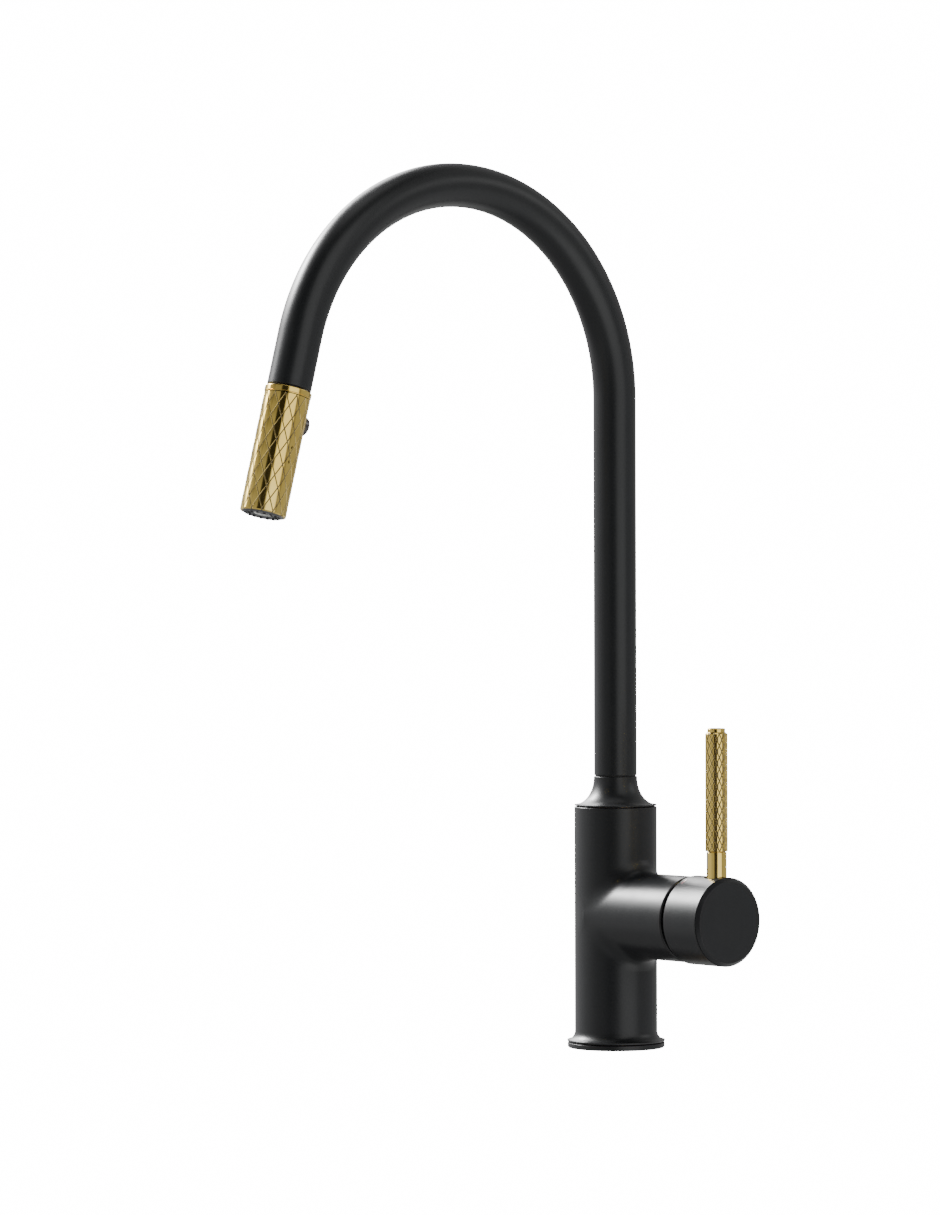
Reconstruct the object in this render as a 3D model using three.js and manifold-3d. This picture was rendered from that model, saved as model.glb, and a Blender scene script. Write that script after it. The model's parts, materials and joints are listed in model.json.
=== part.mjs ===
// Pull-down kitchen faucet: matte black body, gooseneck spout and side handle, with a gilt spray head
// and a gilt lever. Millimetres, +Z up. The origin is the centre of the base on the deck.
// The spout points towards -Y and the handle barrel towards +X.

import * as THREE from 'three';
import { mergeVertices } from 'three/addons/utils/BufferGeometryUtils.js';
import Module from 'manifold-3d';

const wasm = await Module();
wasm.setup();

// ---- driving dimensions -------------------------------------------------------------------------

const GAP = 0.3;                  // clearance between neighbouring pieces
const OUTER_ROUND = 32;           // sides of the casting, the base and the handle cap
const ROUND = 24;                 // sides of other large round pieces
const SMALL_ROUND = 16;           // sides of small round pieces

const BODY_RADIUS = 22.25;        // vertical casting
const BODY_WALL = 3;
const SHOULDER_Z = 130;           // top of the casting, where the spout swivels
const FOOT_Z = 3.3;               // underside of the casting's flared foot
const FOOT_RADIUS = 26.2;
const BASE_RING_HEIGHT = 2.8;

const SHANK_RADIUS = 16.5;        // threaded shank, for a 35 mm deck hole
const SHANK_BORE = 14.9;
const SHANK_END_Z = -58;
const DECK_THICKNESS = 30;

const BARREL_Z = 72;              // axis of the handle barrel
const BARREL_RADIUS = 22.9;
const BARREL_BORE = 19.6;
const BARREL_END = 60.3;          // distance of the barrel's end from the body axis
const PIVOT_X = 46.6;             // pivot of the mixing spindle
const DOME_RADIUS = 24;           // bonnet dome, centred on the pivot

const CAP_START = 62.6;           // handle cap, along the barrel axis
const CAP_END = 89.7;
const CAP_RADIUS = 23.6;
const CAP_BORE = 21.6;
const LEVER_X = 79.6;             // axis of the lever
const STEM_RADIUS = 5.3;
const GRIP_RADIUS = 5.95;
const STEM_FOOT = 9.3;            // lever heights above the barrel axis
const GRIP_START = 36.7;
const GRIP_END = 100;
const LEVER_TOP = 102.1;
const TIP_CAP_RADIUS = 4.7;
const SCREW_X = 75.6;             // grub screw under the cap
const MARK_X = 66;                // hot and cold marks beside the cap's rim
const MARK_ANGLES = { hot_mark: 27, cold_mark: -27 };
const MARK_LENGTH = 1.9;
const MARK_WIDTH = 5.4;

const SPINDLE_WIDTH = 8;          // square mixing spindle, from its tip to its outer end
const SPINDLE_TIP = 38.8;
const SPINDLE_END = 79;
const TIP_RADIUS = 2.2;

const NUT_END = 59;               // outer face of the nut that holds the cartridge
const BLOCK_START = 6.4;          // waterway block, along the barrel axis
const BLOCK_END = 27;
const BLOCK_PORT_X = 11.4;
const PORT_HEIGHT = -6;           // cartridge ports, about the barrel axis
const PIPE_RADIUS = 3.9;
const PIPES = {                   // where each pipe stands in the shank, and its port's place
  cold_inlet_pipe: { x: 2.6, y: -9.6, portY: -7.7 },
  hot_inlet_pipe: { x: 2.6, y: 9.6, portY: 7.7 },
  outlet_pipe: { x: 10.2, y: 0, portY: 0 },
};

const TUBE_RADIUS = 11.5;         // spout tube
const TUBE_BORE = 10.2;
const COLLAR_TOP_Z = 146;
const SPIGOT_BORE = 17;           // bore in the casting for the spout's spigot
const SPIGOT_RADIUS = 14.6;
const SPIGOT_FOOT_Z = 104;
const SPIGOT_TOP_Z = 134;
const LOCK_Z = 108.6;             // lock screw that holds the spigot down
const BEND_RADIUS = 110;
const BEND_Z = 350;               // height of the bend's centre
const BEND_ANGLE = THREE.MathUtils.degToRad(165);
const TAIL_LENGTH = 28.3;         // straight run of the tube after the bend

const HEAD_RADIUS = 12;           // spray head, measured down its own axis from the spout's end
const HEAD_BORE = 10.8;
const HEAD_LENGTH = 66.6;
const HEAD_SEAM = 0.9;
const TOP_RING_HEIGHT = 3.1;
const BUTTON_DROP = 16.5;
const BUTTON_RADIUS = 5;
const BUTTON_REACH = 15;
const HOSE_RADIUS = 5.6;
const FERRULE_TOP = 18;

const BLACK = 0x242527;
const GOLD = 0xc39a4e;
const BRASS = 0xb08d4a;
const STEEL = 0xa8abae;
const CERAMIC = 0xe8e6e0;
const PLASTIC_WHITE = 0xd9d9d6;
const PLASTIC_GREY = 0x4a4d50;
const PLASTIC_BLACK = 0x1b1c1d;
const RUBBER = 0x161616;

// ---- solids -------------------------------------------------------------------------------------

function weld(geometry) {
  const bare = geometry.index ? geometry.toNonIndexed() : geometry.clone();
  bare.deleteAttribute('normal');
  bare.deleteAttribute('uv');
  return mergeVertices(bare, 1e-4);
}

function signedVolume(positions, triangles) {
  const a = new THREE.Vector3();
  const b = new THREE.Vector3();
  const c = new THREE.Vector3();
  let volume = 0;
  for (let i = 0; i < triangles.length; i += 3) {
    a.fromArray(positions, triangles[i] * 3);
    b.fromArray(positions, triangles[i + 1] * 3);
    c.fromArray(positions, triangles[i + 2] * 3);
    volume += a.dot(b.cross(c)) / 6;
  }
  return volume;
}

// A geometry as a manifold solid: vertices merged, slivers at an axis dropped, faces pointing out.
function solid(geometry) {
  const welded = weld(geometry);
  const positions = welded.attributes.position.array;
  const index = welded.index.array;
  const triangles = [];
  for (let i = 0; i < index.length; i += 3) {
    const [p, q, r] = [index[i], index[i + 1], index[i + 2]];
    if (p !== q && q !== r && r !== p) {
      triangles.push(p, q, r);
    }
  }
  if (signedVolume(positions, triangles) < 0) {
    for (let i = 0; i < triangles.length; i += 3) {
      [triangles[i + 1], triangles[i + 2]] = [triangles[i + 2], triangles[i + 1]];
    }
  }
  return new wasm.Manifold(new wasm.Mesh({
    numProp: 3,
    vertProperties: new Float32Array(positions),
    triVerts: new Uint32Array(triangles),
  }));
}

function geometryOf(manifold) {
  const mesh = manifold.getMesh();
  const geometry = new THREE.BufferGeometry();
  geometry.setAttribute('position', new THREE.BufferAttribute(new Float32Array(mesh.vertProperties), 3));
  geometry.setIndex(new THREE.BufferAttribute(new Uint32Array(mesh.triVerts), 1));
  return geometry;
}

// A profile of [radius, height] points turned about +Z. A ring's profile closes on itself.
function turned(profile, sides = ROUND) {
  const points = profile.map(([radius, height]) => new THREE.Vector2(radius, height));
  if (profile.every(([radius]) => radius > 0)) {
    points.push(points[0].clone());
  }
  const geometry = new THREE.LatheGeometry(points, sides);
  geometry.rotateX(Math.PI / 2);
  return solid(geometry);
}

function disc(radius, from, to, sides = ROUND) {
  return turned([[0, from], [radius, from], [radius, to], [0, to]], sides);
}

function ring(inner, outer, from, to, sides = ROUND) {
  return turned([[inner, from], [outer, from], [outer, to], [inner, to]], sides);
}

// Points of an elliptic quarter, from one angle to another, about a centre in the profile's plane.
function arcPoints(centreRadius, centreHeight, a, b, fromDegrees, toDegrees, count) {
  return Array.from({ length: count + 1 }, (_, i) => {
    const angle = THREE.MathUtils.degToRad(fromDegrees + (toDegrees - fromDegrees) * i / count);
    return [centreRadius + a * Math.cos(angle), centreHeight + b * Math.sin(angle)];
  });
}

function box(width, depth, height, x, y, z) {
  const geometry = new THREE.BoxGeometry(width, depth, height);
  geometry.translate(x, y, z);
  return solid(geometry);
}

// The same solid with its own +Z turned to the barrel's axis, +X, at the barrel's height.
function alongBarrel(manifold) {
  const matrix = new THREE.Matrix4().makeRotationY(Math.PI / 2);
  matrix.setPosition(0, 0, BARREL_Z);
  return manifold.transform(matrix.toArray());
}

// The same solid with its own +Z turned to +Y, at x and z.
function alongY(manifold, x, z) {
  const matrix = new THREE.Matrix4().makeRotationX(-Math.PI / 2);
  matrix.setPosition(x, 0, z);
  return manifold.transform(matrix.toArray());
}

function roundSection(radius, sides, Path = THREE.Shape) {
  const section = new Path();
  for (let i = 0; i <= sides; i += 1) {
    const angle = 2 * Math.PI * i / sides;
    const method = i === 0 ? 'moveTo' : 'lineTo';
    section[method](radius * Math.cos(angle), radius * Math.sin(angle));
  }
  return section;
}

function sweep(path, radius, bore, sides, steps) {
  const section = roundSection(radius, sides);
  if (bore > 0) {
    section.holes.push(roundSection(bore, sides, THREE.Path));
  }
  return solid(new THREE.ExtrudeGeometry(section, { steps, extrudePath: path }));
}

const faucet = new THREE.Group();

function addPiece(name, manifold, color, roughness, metalness, parent = faucet) {
  const material = new THREE.MeshStandardMaterial({ color, roughness, metalness });
  const mesh = new THREE.Mesh(geometryOf(manifold), material);
  mesh.name = name;
  parent.add(mesh);
}

const addBlack = (name, manifold, parent) => addPiece(name, manifold, BLACK, 0.42, 0.5, parent);
const addGold = (name, manifold, parent) => addPiece(name, manifold, GOLD, 0.18, 1, parent);
const addBrass = (name, manifold, parent) => addPiece(name, manifold, BRASS, 0.35, 1, parent);
const addSteel = (name, manifold, parent) => addPiece(name, manifold, STEEL, 0.3, 1, parent);
const addRubber = (name, manifold, parent) => addPiece(name, manifold, RUBBER, 0.9, 0, parent);
const addPlastic = (name, manifold, color, parent) => addPiece(name, manifold, color, 0.55, 0, parent);

// ---- base and deck fastening --------------------------------------------------------------------

function addBase() {
  const ringChamfer = 0.6;
  const baseRing = turned([
    [SHANK_RADIUS + GAP, 0],
    [FOOT_RADIUS - ringChamfer, 0],
    [FOOT_RADIUS, ringChamfer],
    [FOOT_RADIUS, BASE_RING_HEIGHT],
    [SHANK_RADIUS + GAP, BASE_RING_HEIGHT],
  ], OUTER_ROUND);
  const sealGroove = ring(20, 23, -1, 1.6);
  addBlack('base_ring', baseRing.subtract(sealGroove));
  addRubber('base_seal', ring(20 + GAP, 23 - GAP, 0, 1.6 - GAP));
}

function addShank() {
  const edge = 0.8;
  const top = BASE_RING_HEIGHT + 12;
  addBrass('mounting_shank', turned([
    [SHANK_RADIUS, top],
    [SHANK_RADIUS, SHANK_END_Z + edge],
    [SHANK_RADIUS - edge, SHANK_END_Z],
    [SHANK_BORE, SHANK_END_Z],
    [SHANK_BORE, top],
  ]));
}

function addDeckFastening() {
  const clearBore = SHANK_RADIUS + GAP;
  const washerTop = -DECK_THICKNESS;
  addRubber('deck_washer_rubber', ring(clearBore, 27, washerTop - 3, washerTop));
  addSteel('deck_washer_steel', ring(clearBore, 27, washerTop - 4.8, washerTop - 3 - GAP));
  const nutTop = washerTop - 4.8 - GAP;
  const nut = ring(clearBore, 23, nutTop - 13, nutTop);
  const wings = box(64, 7, 12, 0, 0, nutTop - 6.7).subtract(disc(22, nutTop - 20, nutTop + 1));
  addPlastic('mounting_nut', nut.add(wings), PLASTIC_GREY);
}

// ---- body casting -------------------------------------------------------------------------------

function bodyOutline() {
  const flare = arcPoints(FOOT_RADIUS + 0.1, 9.2, FOOT_RADIUS + 0.1 - BODY_RADIUS, 5, 270, 180, 4);
  return [[0, FOOT_Z], [FOOT_RADIUS, FOOT_Z], ...flare, [BODY_RADIUS, SHOULDER_Z - 0.4],
    [BODY_RADIUS - 0.4, SHOULDER_Z], [0, SHOULDER_Z]];
}

function addValveBody() {
  const edge = 1;
  const column = turned(bodyOutline(), OUTER_ROUND);
  const barrel = alongBarrel(turned([
    [0, 0],
    [BARREL_RADIUS, 0],
    [BARREL_RADIUS, BARREL_END - edge],
    [BARREL_RADIUS - edge, BARREL_END],
    [0, BARREL_END],
  ], OUTER_ROUND));
  const cavity = turned([
    [0, FOOT_Z - 1],
    [SHANK_RADIUS + GAP, FOOT_Z - 1],
    [SHANK_RADIUS + GAP, 16],
    [BODY_RADIUS - BODY_WALL, 20],
    [BODY_RADIUS - BODY_WALL, 96],
    [SPIGOT_BORE, 100],
    [SPIGOT_BORE, SHOULDER_Z + 1],
    [0, SHOULDER_Z + 1],
  ]);
  const barrelBore = alongBarrel(disc(BARREL_BORE, 0, BARREL_END + 1));
  const lockHole = alongY(disc(2.8, 10, 40, SMALL_ROUND), 0, LOCK_Z);
  addBlack('valve_body', column.add(barrel).subtract(cavity).subtract(barrelBore).subtract(lockHole));
}

// ---- waterways and cartridge --------------------------------------------------------------------

function withPorts(manifold, radius, from, to) {
  return Object.values(PIPES).reduce((result, pipe) => {
    const hole = alongBarrel(disc(radius, from, to, 12)).translate([0, pipe.portY, PORT_HEIGHT]);
    return result.subtract(hole);
  }, manifold);
}

function addWaterwayBlock() {
  let block = alongBarrel(disc(BARREL_BORE - 0.4, BLOCK_START, BLOCK_END));
  for (const pipe of Object.values(PIPES)) {
    const bore = disc(PIPE_RADIUS + GAP, 0, BARREL_Z - 2, SMALL_ROUND);
    block = block.subtract(bore.translate([BLOCK_PORT_X, pipe.y, 0]));
  }
  addBrass('waterway_block', withPorts(block, 2.4, BLOCK_PORT_X, BLOCK_END + 1));
}

function addPipes() {
  for (const [name, pipe] of Object.entries(PIPES)) {
    const route = new THREE.CatmullRomCurve3([
      new THREE.Vector3(pipe.x, pipe.y, SHANK_END_Z - 6),
      new THREE.Vector3(pipe.x, pipe.y, -20),
      new THREE.Vector3(pipe.x, pipe.y, 20),
      new THREE.Vector3(BLOCK_PORT_X, pipe.y, 44),
      new THREE.Vector3(BLOCK_PORT_X, pipe.y, 56),
      new THREE.Vector3(BLOCK_PORT_X, pipe.y, BARREL_Z - 3),
    ], false, 'centripetal');
    addSteel(name, sweep(route, PIPE_RADIUS, 2.7, 8, 12));
  }
}

function addCartridge() {
  const seal = alongBarrel(disc(16, BLOCK_END + GAP, 28.8, SMALL_ROUND));
  addRubber('cartridge_seal', withPorts(seal, 2.4, BLOCK_END, 30));
  const fixedDisc = alongBarrel(disc(14.6, 29.1, 33.1, SMALL_ROUND));
  addPiece('fixed_disc', withPorts(fixedDisc, 2.2, 28, 34), CERAMIC, 0.25, 0);
  const shoulder = 54.8;
  const neckEnd = 57.6;
  const housing = turned([
    [14.9, 29.1],
    [17.5, 29.1],
    [17.5, shoulder],
    [14.4, shoulder],
    [14.4, neckEnd],
    [13, neckEnd],
    [13, 53],
    [15.6, 53],
    [15.6, 34],
    [14.9, 34],
  ]);
  addPlastic('cartridge_housing', alongBarrel(housing), PLASTIC_WHITE);
  addBrass('cartridge_nut', alongBarrel(ring(14.4 + GAP, BARREL_BORE - GAP, shoulder + GAP, NUT_END)));
}

// The dome under the handle cap. Its outer face is a sphere about the spindle's pivot, which the
// cap's inside clears as the handle lifts.
function addBonnetRing() {
  const outerFrom = THREE.MathUtils.radToDeg(Math.acos((BARREL_BORE - GAP) / DOME_RADIUS));
  const outerTo = THREE.MathUtils.radToDeg(Math.acos(15.6 / DOME_RADIUS));
  const inner = DOME_RADIUS - 1.6;
  const innerFrom = THREE.MathUtils.radToDeg(Math.acos(15.6 / inner));
  const innerTo = THREE.MathUtils.radToDeg(Math.acos(17.8 / inner));
  const profile = [
    [BARREL_BORE - GAP, NUT_END + GAP],
    ...arcPoints(0, PIVOT_X, DOME_RADIUS, DOME_RADIUS, outerFrom, outerTo, 3),
    ...arcPoints(0, PIVOT_X, inner, inner, innerFrom, innerTo, 1),
    [17.8, NUT_END + GAP],
  ];
  addPlastic('bonnet_ring', alongBarrel(turned(profile)), PLASTIC_BLACK);
}

// The carrier turns in the housing with the spindle. Its slot lets the spindle tilt one way.
function addMixCarrier() {
  const blank = turned([[0, 41.4], [15.2, 41.4], [15.2, 52.6], [12.6, 52.6], [12.6, 57.6], [0, 57.6]]);
  const slotDrop = 6.2;
  const slotWidth = SPINDLE_WIDTH + 2 * GAP;
  const slot = box(30, slotWidth, slotWidth + slotDrop, 56, 0, BARREL_Z - slotDrop / 2);
  const tipRoom = box(14, slotWidth, 13, 45, 0, BARREL_Z + 1.5);
  addPlastic('mix_carrier', alongBarrel(blank).subtract(slot).subtract(tipRoom)
    .subtract(alongY(disc(1.5, -20, 20, 12), PIVOT_X, BARREL_Z)), PLASTIC_GREY);
  addSteel('pivot_pin', alongY(disc(1.5 - GAP, -14, 14, 12), PIVOT_X, BARREL_Z));
}

function addMovingDisc() {
  addPiece('moving_disc', alongBarrel(disc(11.4, 33.4, 36.9, SMALL_ROUND)), CERAMIC, 0.25, 0);
  const socket = disc(TIP_RADIUS + 1.1, SPINDLE_TIP - 0.6, 42, 12);
  const carrier = disc(11.4, 37.2, 41, SMALL_ROUND).subtract(socket);
  addPlastic('disc_carrier', alongBarrel(carrier), PLASTIC_WHITE);
}

// ---- handle -------------------------------------------------------------------------------------

function addSpindle() {
  const shaftStart = 43.2;
  const length = SPINDLE_END - shaftStart;
  const shaft = box(length, SPINDLE_WIDTH, SPINDLE_WIDTH, shaftStart + length / 2, 0, BARREL_Z);
  const tip = alongBarrel(disc(TIP_RADIUS, SPINDLE_TIP, shaftStart + 1, 12));
  const pinHole = alongY(disc(1.5, -20, 20, 12), PIVOT_X, BARREL_Z);
  addBrass('mixing_spindle', shaft.add(tip).subtract(pinHole));
}

function addHandleCap() {
  const rimEdge = 0.8;
  const endEdge = 2;
  const bossStart = 70.2;
  const endWall = 3.5;
  const outer = turned([
    [0, CAP_START],
    [CAP_RADIUS - rimEdge, CAP_START],
    [CAP_RADIUS, CAP_START + rimEdge],
    [CAP_RADIUS, CAP_END - endEdge],
    [CAP_RADIUS - endEdge, CAP_END],
    [0, CAP_END],
  ], OUTER_ROUND);
  const hollow = turned([
    [0, CAP_START - 1],
    [CAP_BORE + 0.5, CAP_START - 1],
    [CAP_BORE + 0.5, CAP_START],
    [CAP_BORE, CAP_START + 0.5],
    [CAP_BORE, CAP_END - endWall],
    [0, CAP_END - endWall],
  ]);
  const spindleBoss = disc(8.5, bossStart, CAP_END - 1, SMALL_ROUND);
  const stemBoss = disc(7.8, 2, CAP_RADIUS - 1.2, SMALL_ROUND).translate([LEVER_X, 0, BARREL_Z]);
  const screwBoss = disc(5.5, 1.2 - CAP_RADIUS, -2, SMALL_ROUND).translate([SCREW_X, 0, BARREL_Z]);
  const socketWidth = SPINDLE_WIDTH + 2 * GAP;
  const socketEnd = SPINDLE_END + GAP;
  const socketStart = bossStart - 1;
  const socket = box(socketEnd - socketStart, socketWidth, socketWidth,
    (socketEnd + socketStart) / 2, 0, BARREL_Z);
  const stemHole = turned([
    [0, STEM_FOOT - GAP],
    [STEM_RADIUS + GAP, STEM_FOOT - GAP],
    [STEM_RADIUS + GAP, CAP_RADIUS - 1.6],
    [STEM_RADIUS + 2.2, CAP_RADIUS + 0.3],
    [0, CAP_RADIUS + 0.3],
  ], SMALL_ROUND).translate([LEVER_X, 0, BARREL_Z]);
  const screwHole = disc(2.6, -CAP_RADIUS - 1, 0, SMALL_ROUND).translate([SCREW_X, 0, BARREL_Z]);
  const filled = alongBarrel(outer).subtract(alongBarrel(hollow))
    .add(alongBarrel(spindleBoss)).add(stemBoss).add(screwBoss);
  const bored = filled.subtract(socket).subtract(stemHole).subtract(screwHole);
  const pocketed = Object.values(MARK_ANGLES).reduce((cap, angle) => {
    const pocket = box(MARK_LENGTH, MARK_WIDTH, 4, 0, 0, CAP_RADIUS + 1.1);
    return cap.subtract(placeMark(pocket, angle));
  }, bored);
  addBlack('handle_cap', pocketed);
}

// A solid drawn above the barrel's axis, turned about that axis towards the spout's side.
function placeMark(manifold, degrees) {
  const matrix = new THREE.Matrix4().makeRotationX(THREE.MathUtils.degToRad(degrees));
  matrix.setPosition(MARK_X, 0, BARREL_Z);
  return manifold.transform(matrix.toArray());
}

function addHandleTrim() {
  const capRound = alongBarrel(disc(CAP_RADIUS, CAP_START, CAP_END, 64));
  for (const [name, angle] of Object.entries(MARK_ANGLES)) {
    const inlay = box(MARK_LENGTH - 0.4, MARK_WIDTH - 0.4, 2, 0, 0, CAP_RADIUS + 0.4);
    const color = name === 'hot_mark' ? 0x8a2b30 : 0x28486f;
    addPlastic(name, placeMark(inlay, angle).intersect(capRound), color);
  }
  const screw = disc(2.3, -17, -4 - GAP, 12).subtract(box(2.2, 2.2, 8, 0, 0, -17));
  addSteel('handle_grub_screw', screw.translate([SCREW_X, 0, BARREL_Z]));
  const plug = disc(2.3, 0.1 - CAP_RADIUS, -17 - GAP, SMALL_ROUND);
  addRubber('grub_screw_plug', plug.translate([SCREW_X, 0, BARREL_Z]));
}

function addLever() {
  const lever = new THREE.Group();
  lever.position.set(LEVER_X, 0, BARREL_Z);
  const spigot = 3.2;
  const stem = turned([
    [0, STEM_FOOT],
    [STEM_RADIUS, STEM_FOOT],
    [STEM_RADIUS, GRIP_START - 0.3],
    [STEM_RADIUS - 0.3, GRIP_START],
    [spigot, GRIP_START],
    [spigot, GRIP_END + 0.2],
    [0, GRIP_END + 0.2],
  ], SMALL_ROUND);
  addGold('lever_stem', stem, lever);
  addGold('lever_grip', ring(spigot + GAP, GRIP_RADIUS, GRIP_START + GAP, GRIP_END, SMALL_ROUND), lever);
  const tip = turned([
    [0, GRIP_END + 0.2 + GAP],
    [TIP_CAP_RADIUS, GRIP_END + 0.2 + GAP],
    [TIP_CAP_RADIUS, LEVER_TOP - 0.5],
    [TIP_CAP_RADIUS - 0.5, LEVER_TOP],
    [0, LEVER_TOP],
  ], SMALL_ROUND);
  addGold('lever_tip', tip, lever);
  faucet.add(lever);
}

// ---- spout --------------------------------------------------------------------------------------

function addSwivel() {
  const bearing = ring(SPIGOT_RADIUS + 1.1, SPIGOT_BORE - GAP, 112, SHOULDER_Z - 0.4);
  addPlastic('swivel_bearing', bearing, PLASTIC_WHITE);
  const washer = ring(SPIGOT_RADIUS + 1.1, 20.6, SHOULDER_Z + GAP, SHOULDER_Z + 1);
  addPlastic('swivel_washer', washer, PLASTIC_BLACK);
  const screw = disc(2.5, 13.2, BODY_RADIUS - 0.8, SMALL_ROUND)
    .subtract(box(2.4, 2.4, 6, 0, 0, BODY_RADIUS - 0.8));
  addSteel('swivel_lock_screw', alongY(screw, 0, LOCK_Z));
}

function addSpigot() {
  const bore = 9;
  const spigot = turned([
    [bore, SPIGOT_FOOT_Z],
    [SPIGOT_RADIUS, SPIGOT_FOOT_Z],
    [SPIGOT_RADIUS, LOCK_Z - 2.9],
    [12.6, LOCK_Z - 2.9],
    [12.6, LOCK_Z + 2.9],
    [SPIGOT_RADIUS, LOCK_Z + 2.9],
    [SPIGOT_RADIUS, SPIGOT_TOP_Z],
    [TUBE_BORE - GAP, SPIGOT_TOP_Z],
    [TUBE_BORE - GAP, COLLAR_TOP_Z + 2],
    [bore, COLLAR_TOP_Z + 2],
  ]);
  const lowerGroove = ring(13.6, 16, 114.8, 117.6);
  const upperGroove = ring(13.6, 16, 124.8, 127.6);
  addBrass('spout_spigot', spigot.subtract(lowerGroove).subtract(upperGroove));
  addPlastic('lower_glide_ring', ring(13.9, 15.4, 115.1, 117.3), PLASTIC_WHITE);
  addPlastic('upper_glide_ring', ring(13.9, 15.4, 125.1, 127.3), PLASTIC_WHITE);
  addPlastic('hose_guide', ring(HOSE_RADIUS + 0.6, bore - GAP, SPIGOT_FOOT_Z, 122, SMALL_ROUND),
    PLASTIC_BLACK);
}

// The trumpet collar under the tube, whose side is a concave quarter ellipse.
function addCollar() {
  const lipZ = SHOULDER_Z + 1.3;
  const lip = 0.5;
  const rise = COLLAR_TOP_Z - lipZ - lip;
  const side = arcPoints(BODY_RADIUS - 0.1, COLLAR_TOP_Z, 10.4, rise, 270, 180, 6);
  const collar = turned([
    [SPIGOT_RADIUS + GAP, lipZ],
    [BODY_RADIUS - 0.1, lipZ],
    ...side,
    [TUBE_RADIUS - 0.5, COLLAR_TOP_Z + 0.6],
    [TUBE_BORE, COLLAR_TOP_Z + 0.6],
    [TUBE_BORE, SPIGOT_TOP_Z + GAP],
    [SPIGOT_RADIUS + GAP, SPIGOT_TOP_Z + GAP],
  ], OUTER_ROUND);
  addBlack('spout_collar', collar);
}

// The route of a line inside the spout, by its distance from startZ: straight up, round the bend, and
// straight along the tail.
class SpoutPath extends THREE.Curve {
  constructor(startZ, marks) {
    super();
    Object.assign(this, { startZ, marks });
  }

  getPoint(t, target = new THREE.Vector3()) {
    const step = Math.min(t * (this.marks.length - 1), this.marks.length - 1);
    const whole = Math.min(Math.floor(step), this.marks.length - 2);
    const distance = THREE.MathUtils.lerp(this.marks[whole], this.marks[whole + 1], step - whole);
    const pastRiser = distance - (BEND_Z - this.startZ);
    if (pastRiser < 0) {
      return target.set(0, 0, this.startZ + distance);
    }
    const angle = Math.min(pastRiser / BEND_RADIUS, BEND_ANGLE);
    const tail = pastRiser - angle * BEND_RADIUS;
    return target.set(
      0,
      BEND_RADIUS * (Math.cos(angle) - 1) - tail * Math.sin(angle),
      BEND_Z + BEND_RADIUS * Math.sin(angle) + tail * Math.cos(angle),
    );
  }

  getPointAt(u, target) {
    return this.getPoint(u, target);
  }

  getTangentAt(u, target) {
    return this.getTangent(u, target);
  }
}

// A swept line in the spout, with rings at the riser's ends, around the bend and at the tail's end.
function sweepSpout(startZ, radius, bore, sides, bendSteps, stopShort = 0) {
  const riser = BEND_Z - startZ;
  const bend = BEND_RADIUS * BEND_ANGLE;
  const bendMarks = Array.from({ length: bendSteps + 1 }, (_, step) => riser + bend * step / bendSteps);
  const marks = [0, riser / 2, ...bendMarks, riser + bend + TAIL_LENGTH - stopShort];
  return sweep(new SpoutPath(startZ, marks), radius, bore, sides, marks.length - 1);
}

function addSpoutTube() {
  addBlack('spout_tube', sweepSpout(COLLAR_TOP_Z + 0.9, TUBE_RADIUS, TUBE_BORE, 16, 24));
}

// The pull-out hose on its whole route through the shank, the body and the spout, up to the ferrule.
function addHose() {
  const hoseEnd = FERRULE_TOP + 1.4;
  const hose = sweepSpout(SHANK_END_Z - 6, HOSE_RADIUS, 0, 8, 27, hoseEnd);
  addPiece('pull_out_hose', hose, 0x2a2b2c, 0.7, 0);
}

// ---- docking, hose end and spray head -----------------------------------------------------------
// These pieces share a frame at the spout's end: its +Z points back up the tube, and its +Y faces
// the riser.

const spoutEnd = new THREE.Group();
spoutEnd.position.set(
  0,
  BEND_RADIUS * (Math.cos(BEND_ANGLE) - 1) - TAIL_LENGTH * Math.sin(BEND_ANGLE),
  BEND_Z + BEND_RADIUS * Math.sin(BEND_ANGLE) + TAIL_LENGTH * Math.cos(BEND_ANGLE),
);
spoutEnd.rotation.x = BEND_ANGLE - Math.PI;

const NECK_RADIUS = 7.3;
const DOCK_BORE = 7.8;
const CORE_RADIUS = HEAD_BORE - GAP;
const CORE_BORE = 5.2;
const CORE_END = -58;
const NUT_FOOT = -8.6;            // lower end of the hose nut in the head
const FACE_TOP = -62.4;

function addDock() {
  const guide = turned([[DOCK_BORE, 3.2], [9.8, 3.2], [9.2, 12], [DOCK_BORE, 12]]);
  addPlastic('dock_guide', guide, PLASTIC_BLACK, spoutEnd);
  addSteel('dock_magnet', ring(DOCK_BORE, 9.8, 0.4, 2.9), spoutEnd);
}

function addHoseEnd() {
  const bore = 3.5;
  const ferrule = turned([
    [bore, -2.7],
    [6.1, -2.7],
    [6.1, FERRULE_TOP - 1],
    [5.7, FERRULE_TOP],
    [bore, FERRULE_TOP],
  ], SMALL_ROUND);
  addSteel('hose_ferrule', ferrule, spoutEnd);
  addBrass('hose_nut', ring(bore, 6.1, NUT_FOOT, -3, SMALL_ROUND), spoutEnd);
}

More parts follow.
